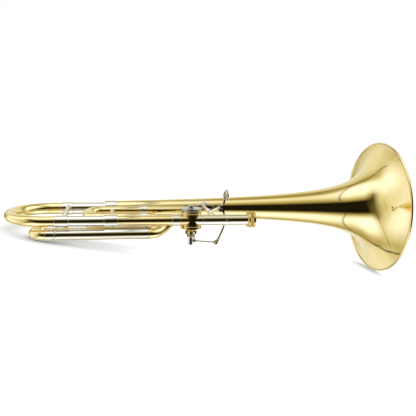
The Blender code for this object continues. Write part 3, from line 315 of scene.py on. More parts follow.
def to_mesh(work, name):
    bmesh.ops.recalc_face_normals(work, faces=work.faces)
    mesh = bpy.data.meshes.new(name)
    work.to_mesh(mesh)
    work.free()
    return mesh


def carve(mesh, cuts):
    """Cut cylinders, each given by start, end and radius in the level frame, out of a mesh."""
    piece = new_object("blank", mesh)
    tools = []
    for start, end, radius in cuts:
        span = Vector(end) - Vector(start)
        work = bmesh.new()
        lathe_into(work, both_ends([(0.0, 0.0), (radius, 0.0)], span.length), start, span, 72)
        tools.append(new_object("tool", to_mesh(work, "tool")))
        step = piece.modifiers.new("cut", "BOOLEAN")
        step.operation = "DIFFERENCE"
        step.solver = "EXACT"
        step.object = tools[-1]
    bpy.context.view_layer.update()
    shape = piece.evaluated_get(bpy.context.evaluated_depsgraph_get())
    cut = bpy.data.meshes.new_from_object(shape)
    for item in [piece] + tools:
        bpy.data.objects.remove(item, do_unlink=True)
    return cut


def finish_piece(work, name, node, sharp=35, cuts=()):
    """Make the worked shape a piece that takes its node's place, on the node's body."""
    mesh = to_mesh(work, name)
    if cuts:
        mesh = carve(mesh, cuts)
    mesh.shade_smooth()
    mesh.set_sharp_from_angle(angle=math.radians(sharp))
    mesh.materials.append(looks[node])
    piece = new_object(name, mesh)
    piece.data = weigh_normals(piece)
    piece.visible_glossy = node not in UNMIRRORED
    body = body_of[node]
    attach(piece, body)
    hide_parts(node)


def rings_to_faces(work, rings, closed):
    pairs = list(zip(rings, rings[1:]))
    if closed:
        pairs.append((rings[-1], rings[0]))
    for first, second in pairs:
        for side in range(max(len(first), len(second))):
            corners = [first[side % len(first)], first[(side + 1) % len(first)],
                       second[(side + 1) % len(second)], second[side % len(second)]]
            unique = [corner for number, corner in enumerate(corners)
                      if corner not in corners[:number]]
            if len(unique) > 2:
                work.faces.new(unique)


def rings_to_solid(work, rings):
    rings_to_faces(work, rings, False)
    work.faces.new(rings[0])
    work.faces.new(rings[-1])


def both_ends(half, length):
    """One end's profile, then the same again at the other end."""
    return half + [(radius, length - height) for radius, height in reversed(half)]


def drum(bore, outer, edge, length):
    """The profile of a drum or tube whose outer edges are cut off."""
    return both_ends([(bore, 0.0), (outer - edge, 0.0), (outer, edge)], length)


def lathe_into(work, profile, place, axis, steps, flutes=None):
    """Turn a profile of (radius, height) round an axis. One that starts off the axis closes."""
    place, axis = Vector(place), Vector(axis).normalized()
    side = axis.orthogonal().normalized()
    other = axis.cross(side)
    rings = []
    for radius, height in profile:
        if radius <= 0.0:
            rings.append([work.verts.new(level(*(place + axis * height)))])
            continue
        ring = []
        for step in range(steps):
            angle = math.tau * step / steps
            grown = radius + (flutes(angle, radius, height) if flutes else 0.0)
            way = math.cos(angle) * side + math.sin(angle) * other
            ring.append(work.verts.new(level(*(place + axis * height + grown * way))))
        rings.append(ring)
    rings_to_faces(work, rings, profile[0][0] > 0.0)


def lathe(name, node, profile, place, axis, steps=96, sharp=35, flutes=None, cuts=()):
    work = bmesh.new()
    lathe_into(work, profile, place, axis, steps, flutes)
    finish_piece(work, name, node, sharp, cuts)


def pipe_into(work, path, radii, sides, wall=None):
    """Sweep a circle along a path, carried round its bends without a twist."""
    path = [Vector(place) for place in path]
    heading = (path[1] - path[0]).normalized()
    side = heading.orthogonal().normalized()
    outer, inner = [], []
    for number, place in enumerate(path):
        ahead = path[min(number + 1, len(path) - 1)] - path[max(number - 1, 0)]
        ahead.normalize()
        side = (heading.rotation_difference(ahead) @ side).normalized()
        heading = ahead
        other = heading.cross(side)
        for rings, inset in ((outer, 0.0), (inner, wall))[:2 if wall else 1]:
            radius = radii[number] - inset
            rings.append([work.verts.new(level(*(place + radius * (
                math.cos(math.tau * step / sides) * side
                + math.sin(math.tau * step / sides) * other)))) for step in range(sides)])
    if wall:
        rings_to_faces(work, outer + inner[::-1], True)
    else:
        rings_to_solid(work, outer)


def pipe(name, node, path, radius, sides=48, wall=TUBE_WALL, cuts=()):
    radii = radius if isinstance(radius, list) else [radius] * len(path)
    work = bmesh.new()
    pipe_into(work, path, radii, sides, wall)
    finish_piece(work, name, node, cuts=cuts)


def plate_into(work, outline, centre, across, up, thickness, edge, dish=0.0):
    """A plate with rounded edges. The dish lifts its rim, by the square of the way out."""
    across, up = Vector(across).normalized(), Vector(up).normalized()
    out = across.cross(up).normalized()
    widest = max(math.hypot(a, b) for a, b in outline)
    # Rings of one face: share of the outline, then how far its edge is drawn in and how far
    # it lies below the face, both by the size of the edge
    face = ((0.02, 0.0, 0.0), (0.55, 0.0, 0.0), (1.0, 1.0, 0.0), (1.0, 0.3, 0.3), (1.0, 0.0, 1.0))
    rings = []
    for side, half in ((-1, face), (1, face[::-1])):
        for size, inset, below in half:
            ring = []
            for a, b in outline:
                share = size - inset * edge / max(math.hypot(a, b), edge * 1.5)
                rise = side * (thickness / 2 - edge * below)
                rise += dish * (math.hypot(a, b) * share / widest) ** 2
                ring.append(work.verts.new(level(*(Vector(centre) + across * a * share
                                                   + up * b * share + out * rise))))
            rings.append(ring)
    rings_to_solid(work, rings)


def surface(place, line, seat):
    """Where a line that starts inside a tube along X comes out of it."""
    y, z, radius = seat
    offset = Vector((0, place.y - y, place.z - z))
    half = offset.dot(line)
    return place + line * (math.sqrt(half ** 2 - offset.dot(offset) + radius ** 2) - half)


def brace(name, node, x, seats, lifts=(0.0, 0.0), radius=0.0026, foot=0.0045, bead=0.0):
    """A turned rod between two tubes, with soft feet cut to sit on them.

    The seats are the tubes' (y, z, radius); the lifts set the rod's ends above their lines.
    """
    start, end = (Vector((x, y, z + lift)) for (y, z, _), lift in zip(seats, lifts))
    line = (end - start).normalized()
    near, far = seats
    first = surface(start, line, near) - line * foot ** 2 / (FOOT_SINK * near[2])
    last = surface(end, -line, far) + line * foot ** 2 / (FOOT_SINK * far[2])
    length = (last - first).length
    flare = min(BRACE_FLARE, length / 2 - GAP)
    skirt = flare * BRACE_SKIRT
    half = [(0.0, 0.0), (foot - 0.0003, 0.0), (foot, 0.0003), (foot, skirt)]
    for step in range(1, 9):
        bend = math.pi / 2 * step / 8
        half.append((radius + (foot - radius) * (1 - math.sin(bend)),
                     skirt + (flare - skirt) * (1 - math.cos(bend))))
    if bead:
        half += [(radius, length / 2 - 0.0030), (radius + bead, length / 2 - 0.0018)]
    cuts = [((x - CUT_REACH, y, z), (x + CUT_REACH, y, z), tube_radius + GAP)
            for y, z, tube_radius in seats]
    lathe(name, node, both_ends(half, length), first, line, 48, cuts=cuts)


def sleeve(name, node, start, length, inside, wall, y=0.0, z=0.0, edge=0.0004):
    """A ferrule with rounded outer edges, round a tube of the radius inside."""
    outer = inside + wall
    half = [(inside + GAP, 0.0), (outer - edge, 0.0)]
    for step in range(1, 4):
        turned = math.pi / 2 * step / 4
        half.append((outer - edge + edge * math.sin(turned), edge - edge * math.cos(turned)))
    half.append((outer, edge))
    lathe(name, node, both_ends(half, length), (start, y, z), ALONG, sharp=50)


def tube(name, node, start, length, radius, y=0.0, z=0.0, wall=TUBE_WALL):
    lathe(name, node, drum(radius - wall, radius, 0.0001, length), (start, y, z), ALONG)


def rounded(corners, bends, rings):
    """A path from corner to corner, with a bend of the given radius at each inner one."""
    path = [Vector(corners[0])]
    for before, corner, after, bend in zip(corners, corners[1:], corners[2:], bends):
        corner = Vector(corner)
        back = (Vector(before) - corner).normalized()
        ahead = (Vector(after) - corner).normalized()
        half = back.angle(ahead) / 2
        centre = corner + (back + ahead).normalized() * bend / math.sin(half)
        first = corner + back * bend / math.tan(half) - centre
        last = corner + ahead * bend / math.tan(half) - centre
        spread = first.angle(last)
        for ring in range(rings + 1):
            part = ring / rings
            path.append(centre + (math.sin((1 - part) * spread) * first
                                  + math.sin(part * spread) * last) / math.sin(spread))
    path.append(Vector(corners[-1]))
    return path


def bow(start, across, lead, rings=60, side=-1):
    """A half circle with a straight lead at each end, bulging along side times X."""
    start, across = Vector(start), Vector(across)
    middle = start + across / 2
    out = ALONG * (side * across.length / 2)
    ends = ALONG * (-side * lead)
    path = [start + ends]
    for ring in range(rings + 1):
        angle = math.pi * ring / rings
        path.append(middle - across / 2 * math.cos(angle) + out * math.sin(angle))
    path.append(start + across + ends)
    return path


# Bell
tail = FERRULE_END + GAP
flare_share = FLARE_SIZE / (BELL_RADIUS - 2 * BEAD - GAP + FLARE_SINK)
bell_end = RIM_PLACE - FLARE_DEPTH * (flare_share ** (1 / FLARE_POWER) - 1)
outer_side, inner_side = [], []
for ring in range(BELL_RINGS + 1):
    x = bell_end - (bell_end - tail) * (1 - ring / BELL_RINGS) ** BELL_RING_POWER
    slope = (bell_radius(x + 0.0001) - bell_radius(x - 0.0001)) / 0.0002
    length = math.hypot(1.0, slope)
    outer_side.append((bell_radius(x), x - tail))
    inner_side.append((bell_radius(x) - BELL_SHEET / length,
                       x - tail + BELL_SHEET * slope / length))
lathe("bell_sheet", "bell", outer_side + inner_side[::-1], (tail, LEG_SPACING, 0), ALONG, 192)
bead = [(BELL_RADIUS - BEAD + BEAD * math.cos(math.tau * step / 20),
         BEAD * math.sin(math.tau * step / 20)) for step in range(20)]
lathe("bell_rolled_rim", "bell_rim_bead", bead, (RIM_PLACE, LEG_SPACING, 0), ALONG, 192, 80)
sleeve("bell_joint_ferrule", "bell_ferrule", OUTER_END - FERRULE_WALL, FERRULE_LENGTH,
       BELL_OUTER_RADIUS, bell_radius(tail) + FERRULE_WALL / 2 - BELL_OUTER_RADIUS, LEG_SPACING)
tube("bell_receiver", "bell_leg_outer_tube", OUTER_START, BELL_OUTER_LENGTH, BELL_OUTER_RADIUS,
     LEG_SPACING)

# Neckpipe leg
tube("neck_receiver", "neck_leg_outer_tube", OUTER_START, NECK_OUTER_LENGTH, NECK_OUTER_RADIUS)
sleeve("neck_joint_ferrule", "neck_ferrule", OUTER_END - FERRULE_WALL, FERRULE_LENGTH,
       NECK_OUTER_RADIUS, FERRULE_WALL)
tube("gooseneck_tube", "gooseneck", GOOSENECK_START, GOOSENECK_END - GOOSENECK_START,
     GOOSENECK_RADIUS)
sleeve("valve_joint_ferrule", "valve_ferrule", VALVE_FERRULE_START, VALVE_FERRULE_LENGTH,
       KNUCKLE_RADIUS, RING_WALL)
tube("neckpipe_tube", "neckpipe", NECKPIPE_START, NECKPIPE_END - NECKPIPE_START, NECKPIPE_RADIUS)
sleeve("neckpipe_bead", "neckpipe_ring", NECKPIPE_RING_START, NECKPIPE_RING_LENGTH,
       NECKPIPE_RADIUS, RING_WALL)

# Valve tubing
sleeve("upper_tube_ferrule", "upper_valve_ferrule", UPPER_FERRULE_START, UPPER_FERRULE_LENGTH,
       F_BEND_RADIUS, FERRULE_WALL, UPPER_Y, UPPER_Z)
pipe("return_bow_tube", "return_bow",
     bow((C_BOW_CENTRE, RETURN_Y, RETURN_Z), (0, UPPER_Y - RETURN_Y, UPPER_Z - RETURN_Z),
         BOW_LEAD), F_BEND_RADIUS)
tube("return_leg_tube", "return_leg", UPPER_START, RETURN_END - GAP - UPPER_START, F_BEND_RADIUS,
     RETURN_Y, RETURN_Z)
sleeve("return_joint_ferrule", "return_ferrule", RETURN_END - GAP - RETURN_FERRULE_LENGTH,
       RETURN_FERRULE_LENGTH, F_BEND_RADIUS, FERRULE_WALL, RETURN_Y, RETURN_Z)
pipe("rear_bow_tube", "rear_valve_bow",
     bow((RETURN_END + BOW_LEAD, RETURN_Y, RETURN_Z), (0, F_LEGS - RETURN_Y, F_LEVEL - RETURN_Z),
         BOW_LEAD, side=1), F_BEND_RADIUS)
for side, y in (("front", 0.0), ("rear", F_LEGS)):
    tube(side + "_slide_receiver", side + "_valve_outer_tube", F_OUTER_START, F_OUTER_LENGTH,
         F_RADIUS, y, F_LEVEL)
    sleeve(side + "_receiver_ring", side + "_valve_ring", F_OUTER_START + 0.0002, F_RING_LENGTH,
           F_RADIUS, F_FERRULE_WALL, y, F_LEVEL)
    tube(side + "_slide_inner", side + "_valve_inner_tube", F_INNER_START, F_INNER_LENGTH,
         F_RADIUS - TUBE_WALL - GAP, y, F_LEVEL, SLIDE_WALL)
    sleeve(side + "_slide_joint", side + "_valve_slide_ferrule", F_FERRULE_START + GAP,
           F_FERRULE_LENGTH, F_BEND_RADIUS, F_FERRULE_WALL, y, F_LEVEL)
pipe("valve_slide_crook", "valve_slide_bow",
     bow((F_FERRULE_START, 0, F_LEVEL), (0, F_LEGS, 0), 2 * BOW_LEAD), F_BEND_RADIUS)

# Tuning slide
crook = bow((CROOK_CENTRE, 0, 0), (0, LEG_SPACING, 0), 0.024, 96)
pipe("tuning_crook", "tuning_bow", crook,
     [CROOK_NEAR + (CROOK_FAR - CROOK_NEAR) * step / (len(crook) - 1)
      for step in range(len(crook))], 56)
for side, y, inner, outer in (("neck", 0.0, NECK_INNER_RADIUS, CROOK_NEAR),
                              ("bell", LEG_SPACING, BELL_INNER_RADIUS, CROOK_FAR)):
    tube(side + "_slide_tube", side + "_inner_tube", INNER_START, INNER_LENGTH, inner, y,
         wall=SLIDE_WALL)
    sleeve(side + "_crook_ferrule", side + "_tuning_ferrule", CROOK_FERRULE_START,
           CROOK_FERRULE_LENGTH, outer, FERRULE_WALL, y)

# Tubes that run into the valve: the upper one, the front one's climbing bend, the knuckles
upper_path = rounded([(UPPER_START, UPPER_Y, UPPER_Z), (F_PORT, UPPER_Y, UPPER_Z),
                      (F_PORT, KNUCKLE_RADIUS + 2 * GAP, 0.0)], [UPPER_BEND], 24)
pipe("upper_tube", "upper_valve_tube", upper_path, F_BEND_RADIUS, cuts=[CASING_SEAT])
PORT_BEND_START, PORT_BEND_END, PORT_BEND_RINGS = F_OUTER_END + 0.003, -0.015, 40
port_path = [Vector((F_OUTER_END, 0, F_LEVEL))]
for ring in range(PORT_BEND_RINGS + 1):
    part = ring / PORT_BEND_RINGS
    ease = part * part * (3 - 2 * part)
    radius = -F_LEVEL + (PORT_Y + F_LEVEL) * ease
    angle = -math.pi / 2 * (1 - ease)
    port_path.append(Vector((PORT_BEND_START + (PORT_BEND_END - PORT_BEND_START) * part,
                             radius * math.cos(angle), radius * math.sin(angle))))
port_path.append(Vector((-0.002, PORT_Y, 0.0)))
pipe("port_bend", "front_port_bend", port_path, F_BEND_RADIUS, cuts=[CASING_SEAT])
for name, node, start, end in KNUCKLES:
    lathe(name, node,
          both_ends([(KNUCKLE_RADIUS - TUBE_WALL, 0.0), (KNUCKLE_RADIUS, 0.0)], end - start),
          (start, 0, 0), ALONG, cuts=[CASING_SEAT])

# Valve
rotor_axis = Vector((0, ROTOR_OFFSET, 0))
rim = CASING_OUTER + 0.0006
casing_profile = [
    (CASING_OUTER - 0.0013, 0.0130), (rim - 0.0002, 0.0130), (rim, 0.0128), (rim, 0.0102),
    (rim - 0.0002, 0.0099), (CASING_OUTER + 0.0001, 0.0097), (CASING_OUTER, 0.0094),
    (CASING_OUTER, -0.0093), (CASING_OUTER + 0.0001, -0.0096), (rim - 0.0002, -0.0098),
    (rim, -0.0100), (rim, -0.0131), (rim - 0.0002, -0.0133), (CASING_OUTER - 0.0013, -0.0133),
]
lathe("casing_body", "valve_casing", casing_profile, rotor_axis, UPWARD, 144,
      cuts=[((-0.03, 0, 0), (0.03, 0, 0), 0.0059),
            ((-0.03, PORT_Y, 0), (-0.004, PORT_Y, 0), 0.0053),
            ((F_PORT, ROTOR_OFFSET + 0.003, 0), (F_PORT, 0.04, 0), 0.0053)])
cap_profile = [
    (0.0, 0.0188), (0.0013, 0.0188), (0.0016, 0.0190), (0.0020, 0.0217), (0.0023, 0.0220),
    (0.0037, 0.0220), (0.0042, 0.0218), (0.0045, 0.0214), (0.0046, 0.0208), (0.0043, 0.0184),
    (0.0045, 0.0181), (0.0052, 0.0179), (0.0118, 0.0178), (0.0121, 0.0176), (0.0127, 0.0176),
    (0.0130, 0.0178), (0.0158, 0.0178), (0.0163, 0.0176), (0.0165, 0.0172), (0.0165, 0.0158),
    (0.0163, 0.0154), (0.0154, 0.0151), (0.0154, 0.0133), (0.0131, 0.0133), (0.0131, 0.0149),
    (0.0, 0.0149),
]
lathe("cap_body", "valve_cap", cap_profile, rotor_axis, UPWARD, 128, 32)
PLATE_RADIUS, PLATE_NECK = 0.0146, 0.0048
plate_profile = [(0.0033, -0.0136), (0.0148, -0.0136), (0.0148, -0.0143), (PLATE_RADIUS, -0.0145)]
for step in range(1, 12):
    bend = math.pi / 2 * step / 12
    plate_profile.append((PLATE_RADIUS - (PLATE_RADIUS - PLATE_NECK) * math.sin(bend) ** 0.8,
                          -0.0145 - 0.0031 * (1 - math.cos(bend))))
plate_profile += [(PLATE_NECK, -0.0178), (PLATE_NECK, -0.0233), (0.0045, -0.0236),
                  (0.0033, -0.0236)]
lathe("lower_bearing", "bearing_plate", plate_profile, rotor_axis, UPWARD, 96)

# Stop arm: hub and stem, bar, pin and lug
PIN_REACH, LUG_REACH, LUG_RADIUS, BUMPER_RADIUS = 0.0095, 0.0078, 0.0012, 0.0016
arm_way = Vector((math.cos(math.radians(45)), math.sin(math.radians(45)), 0))
pin_spot = rotor_axis + PIN_REACH * arm_way
lug_spot = rotor_axis - LUG_REACH * arm_way
work = bmesh.new()
lathe_into(work, [(0.0, -0.0242), (0.0049, -0.0242), (0.0052, -0.0245), (0.0052, -0.0269),
                  (0.0050, -0.0272), (0.0036, -0.0280), (0.0034, -0.0286), (0.0034, -0.0398),
                  (0.0032, -0.0402), (0.0026, -0.0405), (0.0010, -0.0405), (0.0009, -0.0400),
                  (0.0, -0.0400)], rotor_axis, UPWARD, 48)
pipe_into(work, [spot - UPWARD * 0.0257 for spot in (lug_spot, pin_spot)], [0.0013] * 2, 24)
lathe_into(work, drum(0.0, 0.0011, 0.0002, 0.0139), pin_spot - UPWARD * 0.0386, UPWARD, 24)
lathe_into(work, [(0.0, 0.0), (LUG_RADIUS, 0.0), (LUG_RADIUS, 0.0064), (0.0010, 0.0066),
                  (0.0, 0.0066)], lug_spot - UPWARD * 0.0267, UPWARD, 24)
finish_piece(work, "arm_and_stem", "stop_arm")

# Lock nut, knurled between its two rims, and the socket inside it
NUT_LENGTH, NUT_START = 0.0128, 0.0876
KNURL_EDGE, KNURL_FLOOR, KNURL_DEPTH = 0.0042, 0.0120, 0.00035


def knurl(angle, radius, height):
    if KNURL_EDGE < height < NUT_LENGTH - KNURL_EDGE and radius > KNURL_FLOOR:
        return -KNURL_DEPTH * abs(math.sin(30 * angle)) ** 0.7
    return 0.0


nut_profile = [
    (0.0086, 0.0), (0.0102, 0.0), (0.0108, 0.0003), (0.0112, 0.0008), (0.0118, 0.0010),
    (0.0122, 0.0014), (0.0122, 0.0024), (0.0118, 0.0029), (0.0117, 0.0034), (0.0119, 0.0040),
    (0.0126, 0.0043), (0.0128, 0.0045), (0.0128, 0.0056), (0.0128, 0.0066), (0.0128, 0.0083),
    (0.0126, 0.0085), (0.0120, 0.0088), (0.0119, 0.0092), (0.0121, 0.0096), (0.0121, 0.0116),
    (0.0118, 0.0122), (0.0112, 0.0127), (0.0109, NUT_LENGTH), (0.0107, 0.0126), (0.0107, 0.0016),
    (0.0086, 0.0016),
]
lathe("nut_body", "lock_nut", nut_profile, (NUT_START, 0, 0), ALONG, 240, 30, knurl)
lathe("socket", "slide_receiver",
      [(0.0098, 0.0069), (0.0098, 0.0), (0.0073, 0.0), (0.0073, -0.0200), (0.0065, -0.0200),
       (0.0075, 0.0067), (0.0076, 0.0069)], (0.0895, 0, 0), ALONG)

# Braces
brace("tuning_brace", "tuning_slide_brace", CROOK_FERRULE_START + 0.0115,
      ((0, 0, CROOK_NEAR + FERRULE_WALL), (LEG_SPACING, 0, CROOK_FAR + FERRULE_WALL)),
      (0.0030, 0.0030), 0.0038, bead=0.0008)
brace("valve_crook_brace", "valve_slide_brace", F_FERRULE_START + 0.0061,
      ((0, F_LEVEL, F_BEND_RADIUS + F_FERRULE_WALL),
       (F_LEGS, F_LEVEL, F_BEND_RADIUS + F_FERRULE_WALL)))
brace("valve_legs_brace", "valve_leg_brace", -0.1890,
      ((0, F_LEVEL, F_RADIUS), (F_LEGS, F_LEVEL, F_RADIUS)), (0.0010, 0.0010))
POST_PLACE = -0.1200
brace("post", "support_post", POST_PLACE,
      ((0, F_LEVEL, F_RADIUS), (0, 0, NECK_OUTER_RADIUS + FERRULE_WALL)),
      radius=0.0015, foot=0.0029)
brace("upper_tubes_brace", "upper_brace", POST_PLACE,
      ((RETURN_Y, RETURN_Z, F_BEND_RADIUS), (UPPER_Y, UPPER_Z, F_BEND_RADIUS)),
      (0.0030, 0.0010), foot=0.0035)
BRACE_PLACE, BRACE_Z, FLANGE_PLACE, FLANGE_WALL = 0.0360, 0.0050, 0.0380, 0.0013
flange_top = bell_radius(BRACE_PLACE + 0.0035) + 2 * GAP + FLANGE_WALL
brace("main_brace", "bell_brace", BRACE_PLACE,
      ((0, 0, NECKPIPE_RADIUS), (LEG_SPACING, 0, flange_top)), (BRACE_Z, BRACE_Z),
      0.0029, 0.0035, 0.0009)

# Flange that spreads the brace's load over the thin bell: rings of its top, edge and bottom,
# each by its share of the outline and its share of the flange's height
FLANGE_LENGTH, FLANGE_WIDTH, FLANGE_POWER = 0.01675, 0.0070, 1.3
top = [(step / 8, 1.0) for step in range(1, 8)] + [(0.97, 1.0), (1.0, 0.7)]
bottom = [(1.0, 0.0)] + [(step / 8, 0.0) for step in range(7, 0, -1)]
work = bmesh.new()
rings = []
for share, depth in top + bottom:
    ring = []
    for step in range(72):
        angle = math.tau * step / 72
        width = (abs(math.cos(angle)) ** FLANGE_POWER
                 + abs(math.sin(angle)) ** FLANGE_POWER) ** (-1 / FLANGE_POWER)
        x = FLANGE_PLACE + FLANGE_LENGTH * share * width * math.cos(angle)
        z = BRACE_Z + FLANGE_WIDTH * share * width * math.sin(angle)
        out = bell_radius(x) + GAP + FLANGE_WALL * depth * (1.0 - 0.45 * share ** 2)
        ring.append(work.verts.new(level(x, LEG_SPACING - math.sqrt(out ** 2 - z ** 2), z)))
    rings.append(ring)
rings_to_solid(work, rings)
finish_piece(work, "flange", "bell_flange")

# The thumb lever's bracket, hinge pin and spring
BARREL = 0.0070               # half the barrel's length
CHEEK_HALF = 0.0008           # half the thickness of the lever's ears
hinge = Vector((0.0482, 0.0200, 0.0140))
ear = ACROSS * (BARREL + GAP + CHEEK_HALF)
up = Vector((0, math.cos(math.radians(65)), math.sin(math.radians(65))))
foot_spot = Vector((0.0290, 0, 0)) + up * (NECKPIPE_RADIUS - 0.0002)
work = bmesh.new()
lathe_into(work, drum(0.0016, 0.0029, 0.0003, 2 * BARREL), hinge - ACROSS * BARREL, ACROSS, 48)
lathe_into(work, [(0.0, 0.0), (0.0034, 0.0), (0.0034, 0.0010), (0.0031, 0.0015), (0.0027, 0.0022),
                  (0.0, 0.0022)], foot_spot, up, 40)
pipe_into(work, rounded([foot_spot + up * 0.0010, foot_spot + up * 0.0042,
                         hinge + Vector((-0.0060, -0.0045, 0.0005)),
                         hinge + Vector((-0.0022, -0.0045, 0))], [0.0040, 0.0010], 10),
          [0.0026] * 24, 32)
finish_piece(work, "bracket", "lever_bracket")
lathe("pin", "hinge_pin",
      [(0.0, 0.0179), (0.0011, 0.0179), (0.0013, 0.0177), (0.0013, -0.0003), (0.0020, -0.0003),
       (0.0022, -0.0005), (0.0022, -0.0009), (0.0019, -0.0012), (0.0, -0.0012)],
      hinge - ear - ACROSS * CHEEK_HALF, ACROSS, 40)

COIL_RADIUS, COIL_LENGTH, COIL_STEPS = 0.0042, 0.0065, 132
COIL_SWEEP = math.radians(1578)
coil = [hinge + Vector((-COIL_RADIUS, -0.0005, 0.0040))]
for step in range(COIL_STEPS + 1):
    angle = math.pi + COIL_SWEEP * step / COIL_STEPS
    coil.append(hinge + Vector((COIL_RADIUS * math.cos(angle),
                                -0.0005 + COIL_LENGTH * step / COIL_STEPS,
                                COIL_RADIUS * math.sin(angle))))
coil.append(coil[-1] + 0.0072 * Vector((-math.sin(angle), 0, math.cos(angle))))
pipe("spring", "lever_spring", coil, 0.00045, 10, wall=None)

# Thumb lever: ears on a bar, the lower arm to the ball, the stem and its paddle
BALL_RADIUS, ARM_RADIUS, LEAF_LENGTH, LEAF_WIDTH = 0.0023, 0.0017, 0.0165, 0.0075
bar_spot = hinge + Vector((0.0044, 0, 0.0054))
ball = Vector((0.0430, 0.0200, -0.0405))
paddle = Vector((0.0571, 0.0215, 0.0370))
lean = Vector((0.14, 0, 1)).normalized()
arm_end = ball - ACROSS * 0.0046
arm_top = hinge - ear + Vector((0.0048, 0, -0.0050))
shoulder = hinge - ear + Vector((0.0066, 0, -0.0160))
knee = Vector((hinge.x + 0.0050, (arm_top.y + arm_end.y) / 2, hinge.z - 0.0305))
work = bmesh.new()
pipe_into(work, [bar_spot - ear, bar_spot + ear], [ARM_RADIUS] * 2, 24)
for side in (-1, 1):
    lathe_into(work, drum(0.0016, 0.0037, 0.0002, 2 * CHEEK_HALF),
               hinge + side * ear - ACROSS * CHEEK_HALF, ACROSS, 48)
plate_into(work, [(0.0022, 0.0005), (0.0006, 0.0031), (-0.0024, 0.0009), (-0.0002, -0.0025)],
           hinge + ear + Vector((0.0030, 0, 0.0035)), ALONG, UPWARD, 0.0013, 0.0002)
cheek = []
corners = [Vector((-0.0030, 0.0050)), Vector((0.0066, 0.0085)), Vector((0.0055, -0.0085))]
for number, corner in enumerate(corners):
    for other in (corners[number - 1], corners[(number + 1) % 3]):
        cheek.append(corner + (other - corner).normalized() * 0.0008)
heart = Vector((0.0040, 0.0030))
plate_into(work, [tuple(spot - heart) for spot in cheek],
           hinge - ear + Vector((heart.x, 0, heart.y)), ALONG, UPWARD, 0.00144, 0.0002)
pipe_into(work, rounded([arm_top, shoulder, knee, arm_end], [0.014, 0.020], 12),
          [ARM_RADIUS] * 28, 24)
line = (knee - arm_end).normalized()
lathe_into(work, drum(0.0, 0.0025, 0.0003, 0.0055), arm_end + line * 0.0010, line, 32)
pipe_into(work, [arm_end - ACROSS * 0.0012, ball], [0.0014] * 2, 20)
lathe_into(work, [(BALL_RADIUS * math.sin(math.pi * step / 16) if 0 < step < 16 else 0.0,
                   BALL_RADIUS * math.cos(math.pi * step / 16)) for step in range(17)],
           ball, ACROSS, 32)
stem_end = paddle + Vector((-0.0004, 0.0003, 0))
stem = rounded([bar_spot, hinge + Vector((0.0066, 0, 0.0100)),
                stem_end - lean * LEAF_LENGTH * 0.45, stem_end - lean * LEAF_LENGTH / 6],
               [0.012, 0.010], 10)
pipe_into(work, stem, [0.0019 - 0.0007 * max(0, step - 13) / 10 for step in range(len(stem))], 24)
leaf = []
for side in (1, -1):
    for step in range(24):
        part = step / 24 if side == 1 else 1 - step / 24
        width = LEAF_WIDTH * math.sin(math.pi * part ** 0.75) ** 0.7 if 0 < part < 1 else 0.0
        leaf.append((side * width, LEAF_LENGTH * (part - 0.5)))
plate_into(work, leaf, paddle, (-math.sin(math.radians(20)), math.cos(math.radians(20)), 0), lean,
           0.0022, 0.0007, 0.0018)
finish_piece(work, "lever", "thumb_lever")

# Link: an eye over the lever's ball, the rod and the wide eye over the stop arm's pin
EYE_HEIGHT = 0.0028
eye = Vector((pin_spot.x, 0.0157, -0.0360))
aim = (eye - ball).normalized()
work = bmesh.new()
for place, line, bore in ((ball, ACROSS, 0.0026), (eye, UPWARD, 0.0028)):
    lathe_into(work, drum(bore, bore + 0.0010, 0.0003, EYE_HEIGHT), place - line * EYE_HEIGHT / 2,
               line, 48)
pipe_into(work, [ball + aim * 0.0031, ball + aim * 0.0048, ball + aim * 0.0052,
                 eye - aim * 0.0054, eye - aim * 0.0050, eye - aim * 0.0033],
          [0.0013, 0.0013, 0.0010, 0.0010, 0.0013, 0.0013], 24)
finish_piece(work, "link", "link_rod")

# Bumpers, each just clear of the stop arm's lug at one end of its turn
touch = 2 * math.asin((LUG_RADIUS + BUMPER_RADIUS + GAP) / (2 * LUG_REACH))
for name, side in (("left", -1), ("right", 1)):
    angle = -math.pi / 2 + side * (math.pi / 4 + touch)
    lathe("stop_" + name, "bumper_" + name, drum(0.0, BUMPER_RADIUS, 0.0002, 0.0030),
          rotor_axis + Vector((LUG_REACH * math.cos(angle), LUG_REACH * math.sin(angle), -0.0228)),
          UPWARD, 32)

# Floor
FLOOR_SHADE = 0.20            # part of the floor's look that comes from the light on it
FLOOR_GLOW = 1.32             # strength of the rest, which is a glow
CONTACT_REACH = 0.03          # how high above the floor a piece still darkens it


def add_floor():
    """White paper. The camera sees most of it as a glow that only pieces close above darken."""
    mesh = bpy.data.meshes.new("floor")
    work = bmesh.new()
    bmesh.ops.create_grid(work, x_segments=1, y_segments=1, size=8.0)
    work.to_mesh(mesh)
    work.free()
    floor = new_object("floor", mesh)
    floor.visible_glossy = False
    made, tree, shader = new_material("floor_paper")
    fibre = tree.noise(tree.add("ShaderNodeTexCoord").outputs["Object"], 300.0, 3.0)
    tone = tree.ramp(fibre, [(0.0, (0.79, 0.79, 0.79)), (1.0, (0.81, 0.81, 0.81))])
    tree.fill(shader, {"Base Color": tone, "Roughness": 0.9, "Specular IOR Level": 0.0})
    # Ambient occlusion darkens the glow under pieces close above it: a painted contact shadow
    contact = tree.add("ShaderNodeAmbientOcclusion", {"Distance": CONTACT_REACH}, samples=12)
    glow = tree.add("ShaderNodeEmission", {"Color": contact.outputs["Color"],
                                           "Strength": FLOOR_GLOW})
    seen = tree.add("ShaderNodeLightPath").outputs["Is Camera Ray"]
    mix = tree.add("ShaderNodeMixShader", {"Fac": tree.calc("MULTIPLY", seen, 1.0 - FLOOR_SHADE),
                                           1: shader.outputs["BSDF"],
                                           2: glow.outputs["Emission"]})
    tree.fill(made.node_tree.nodes["Material Output"], {"Surface": mix.outputs["Shader"]})
    mesh.materials.append(made)


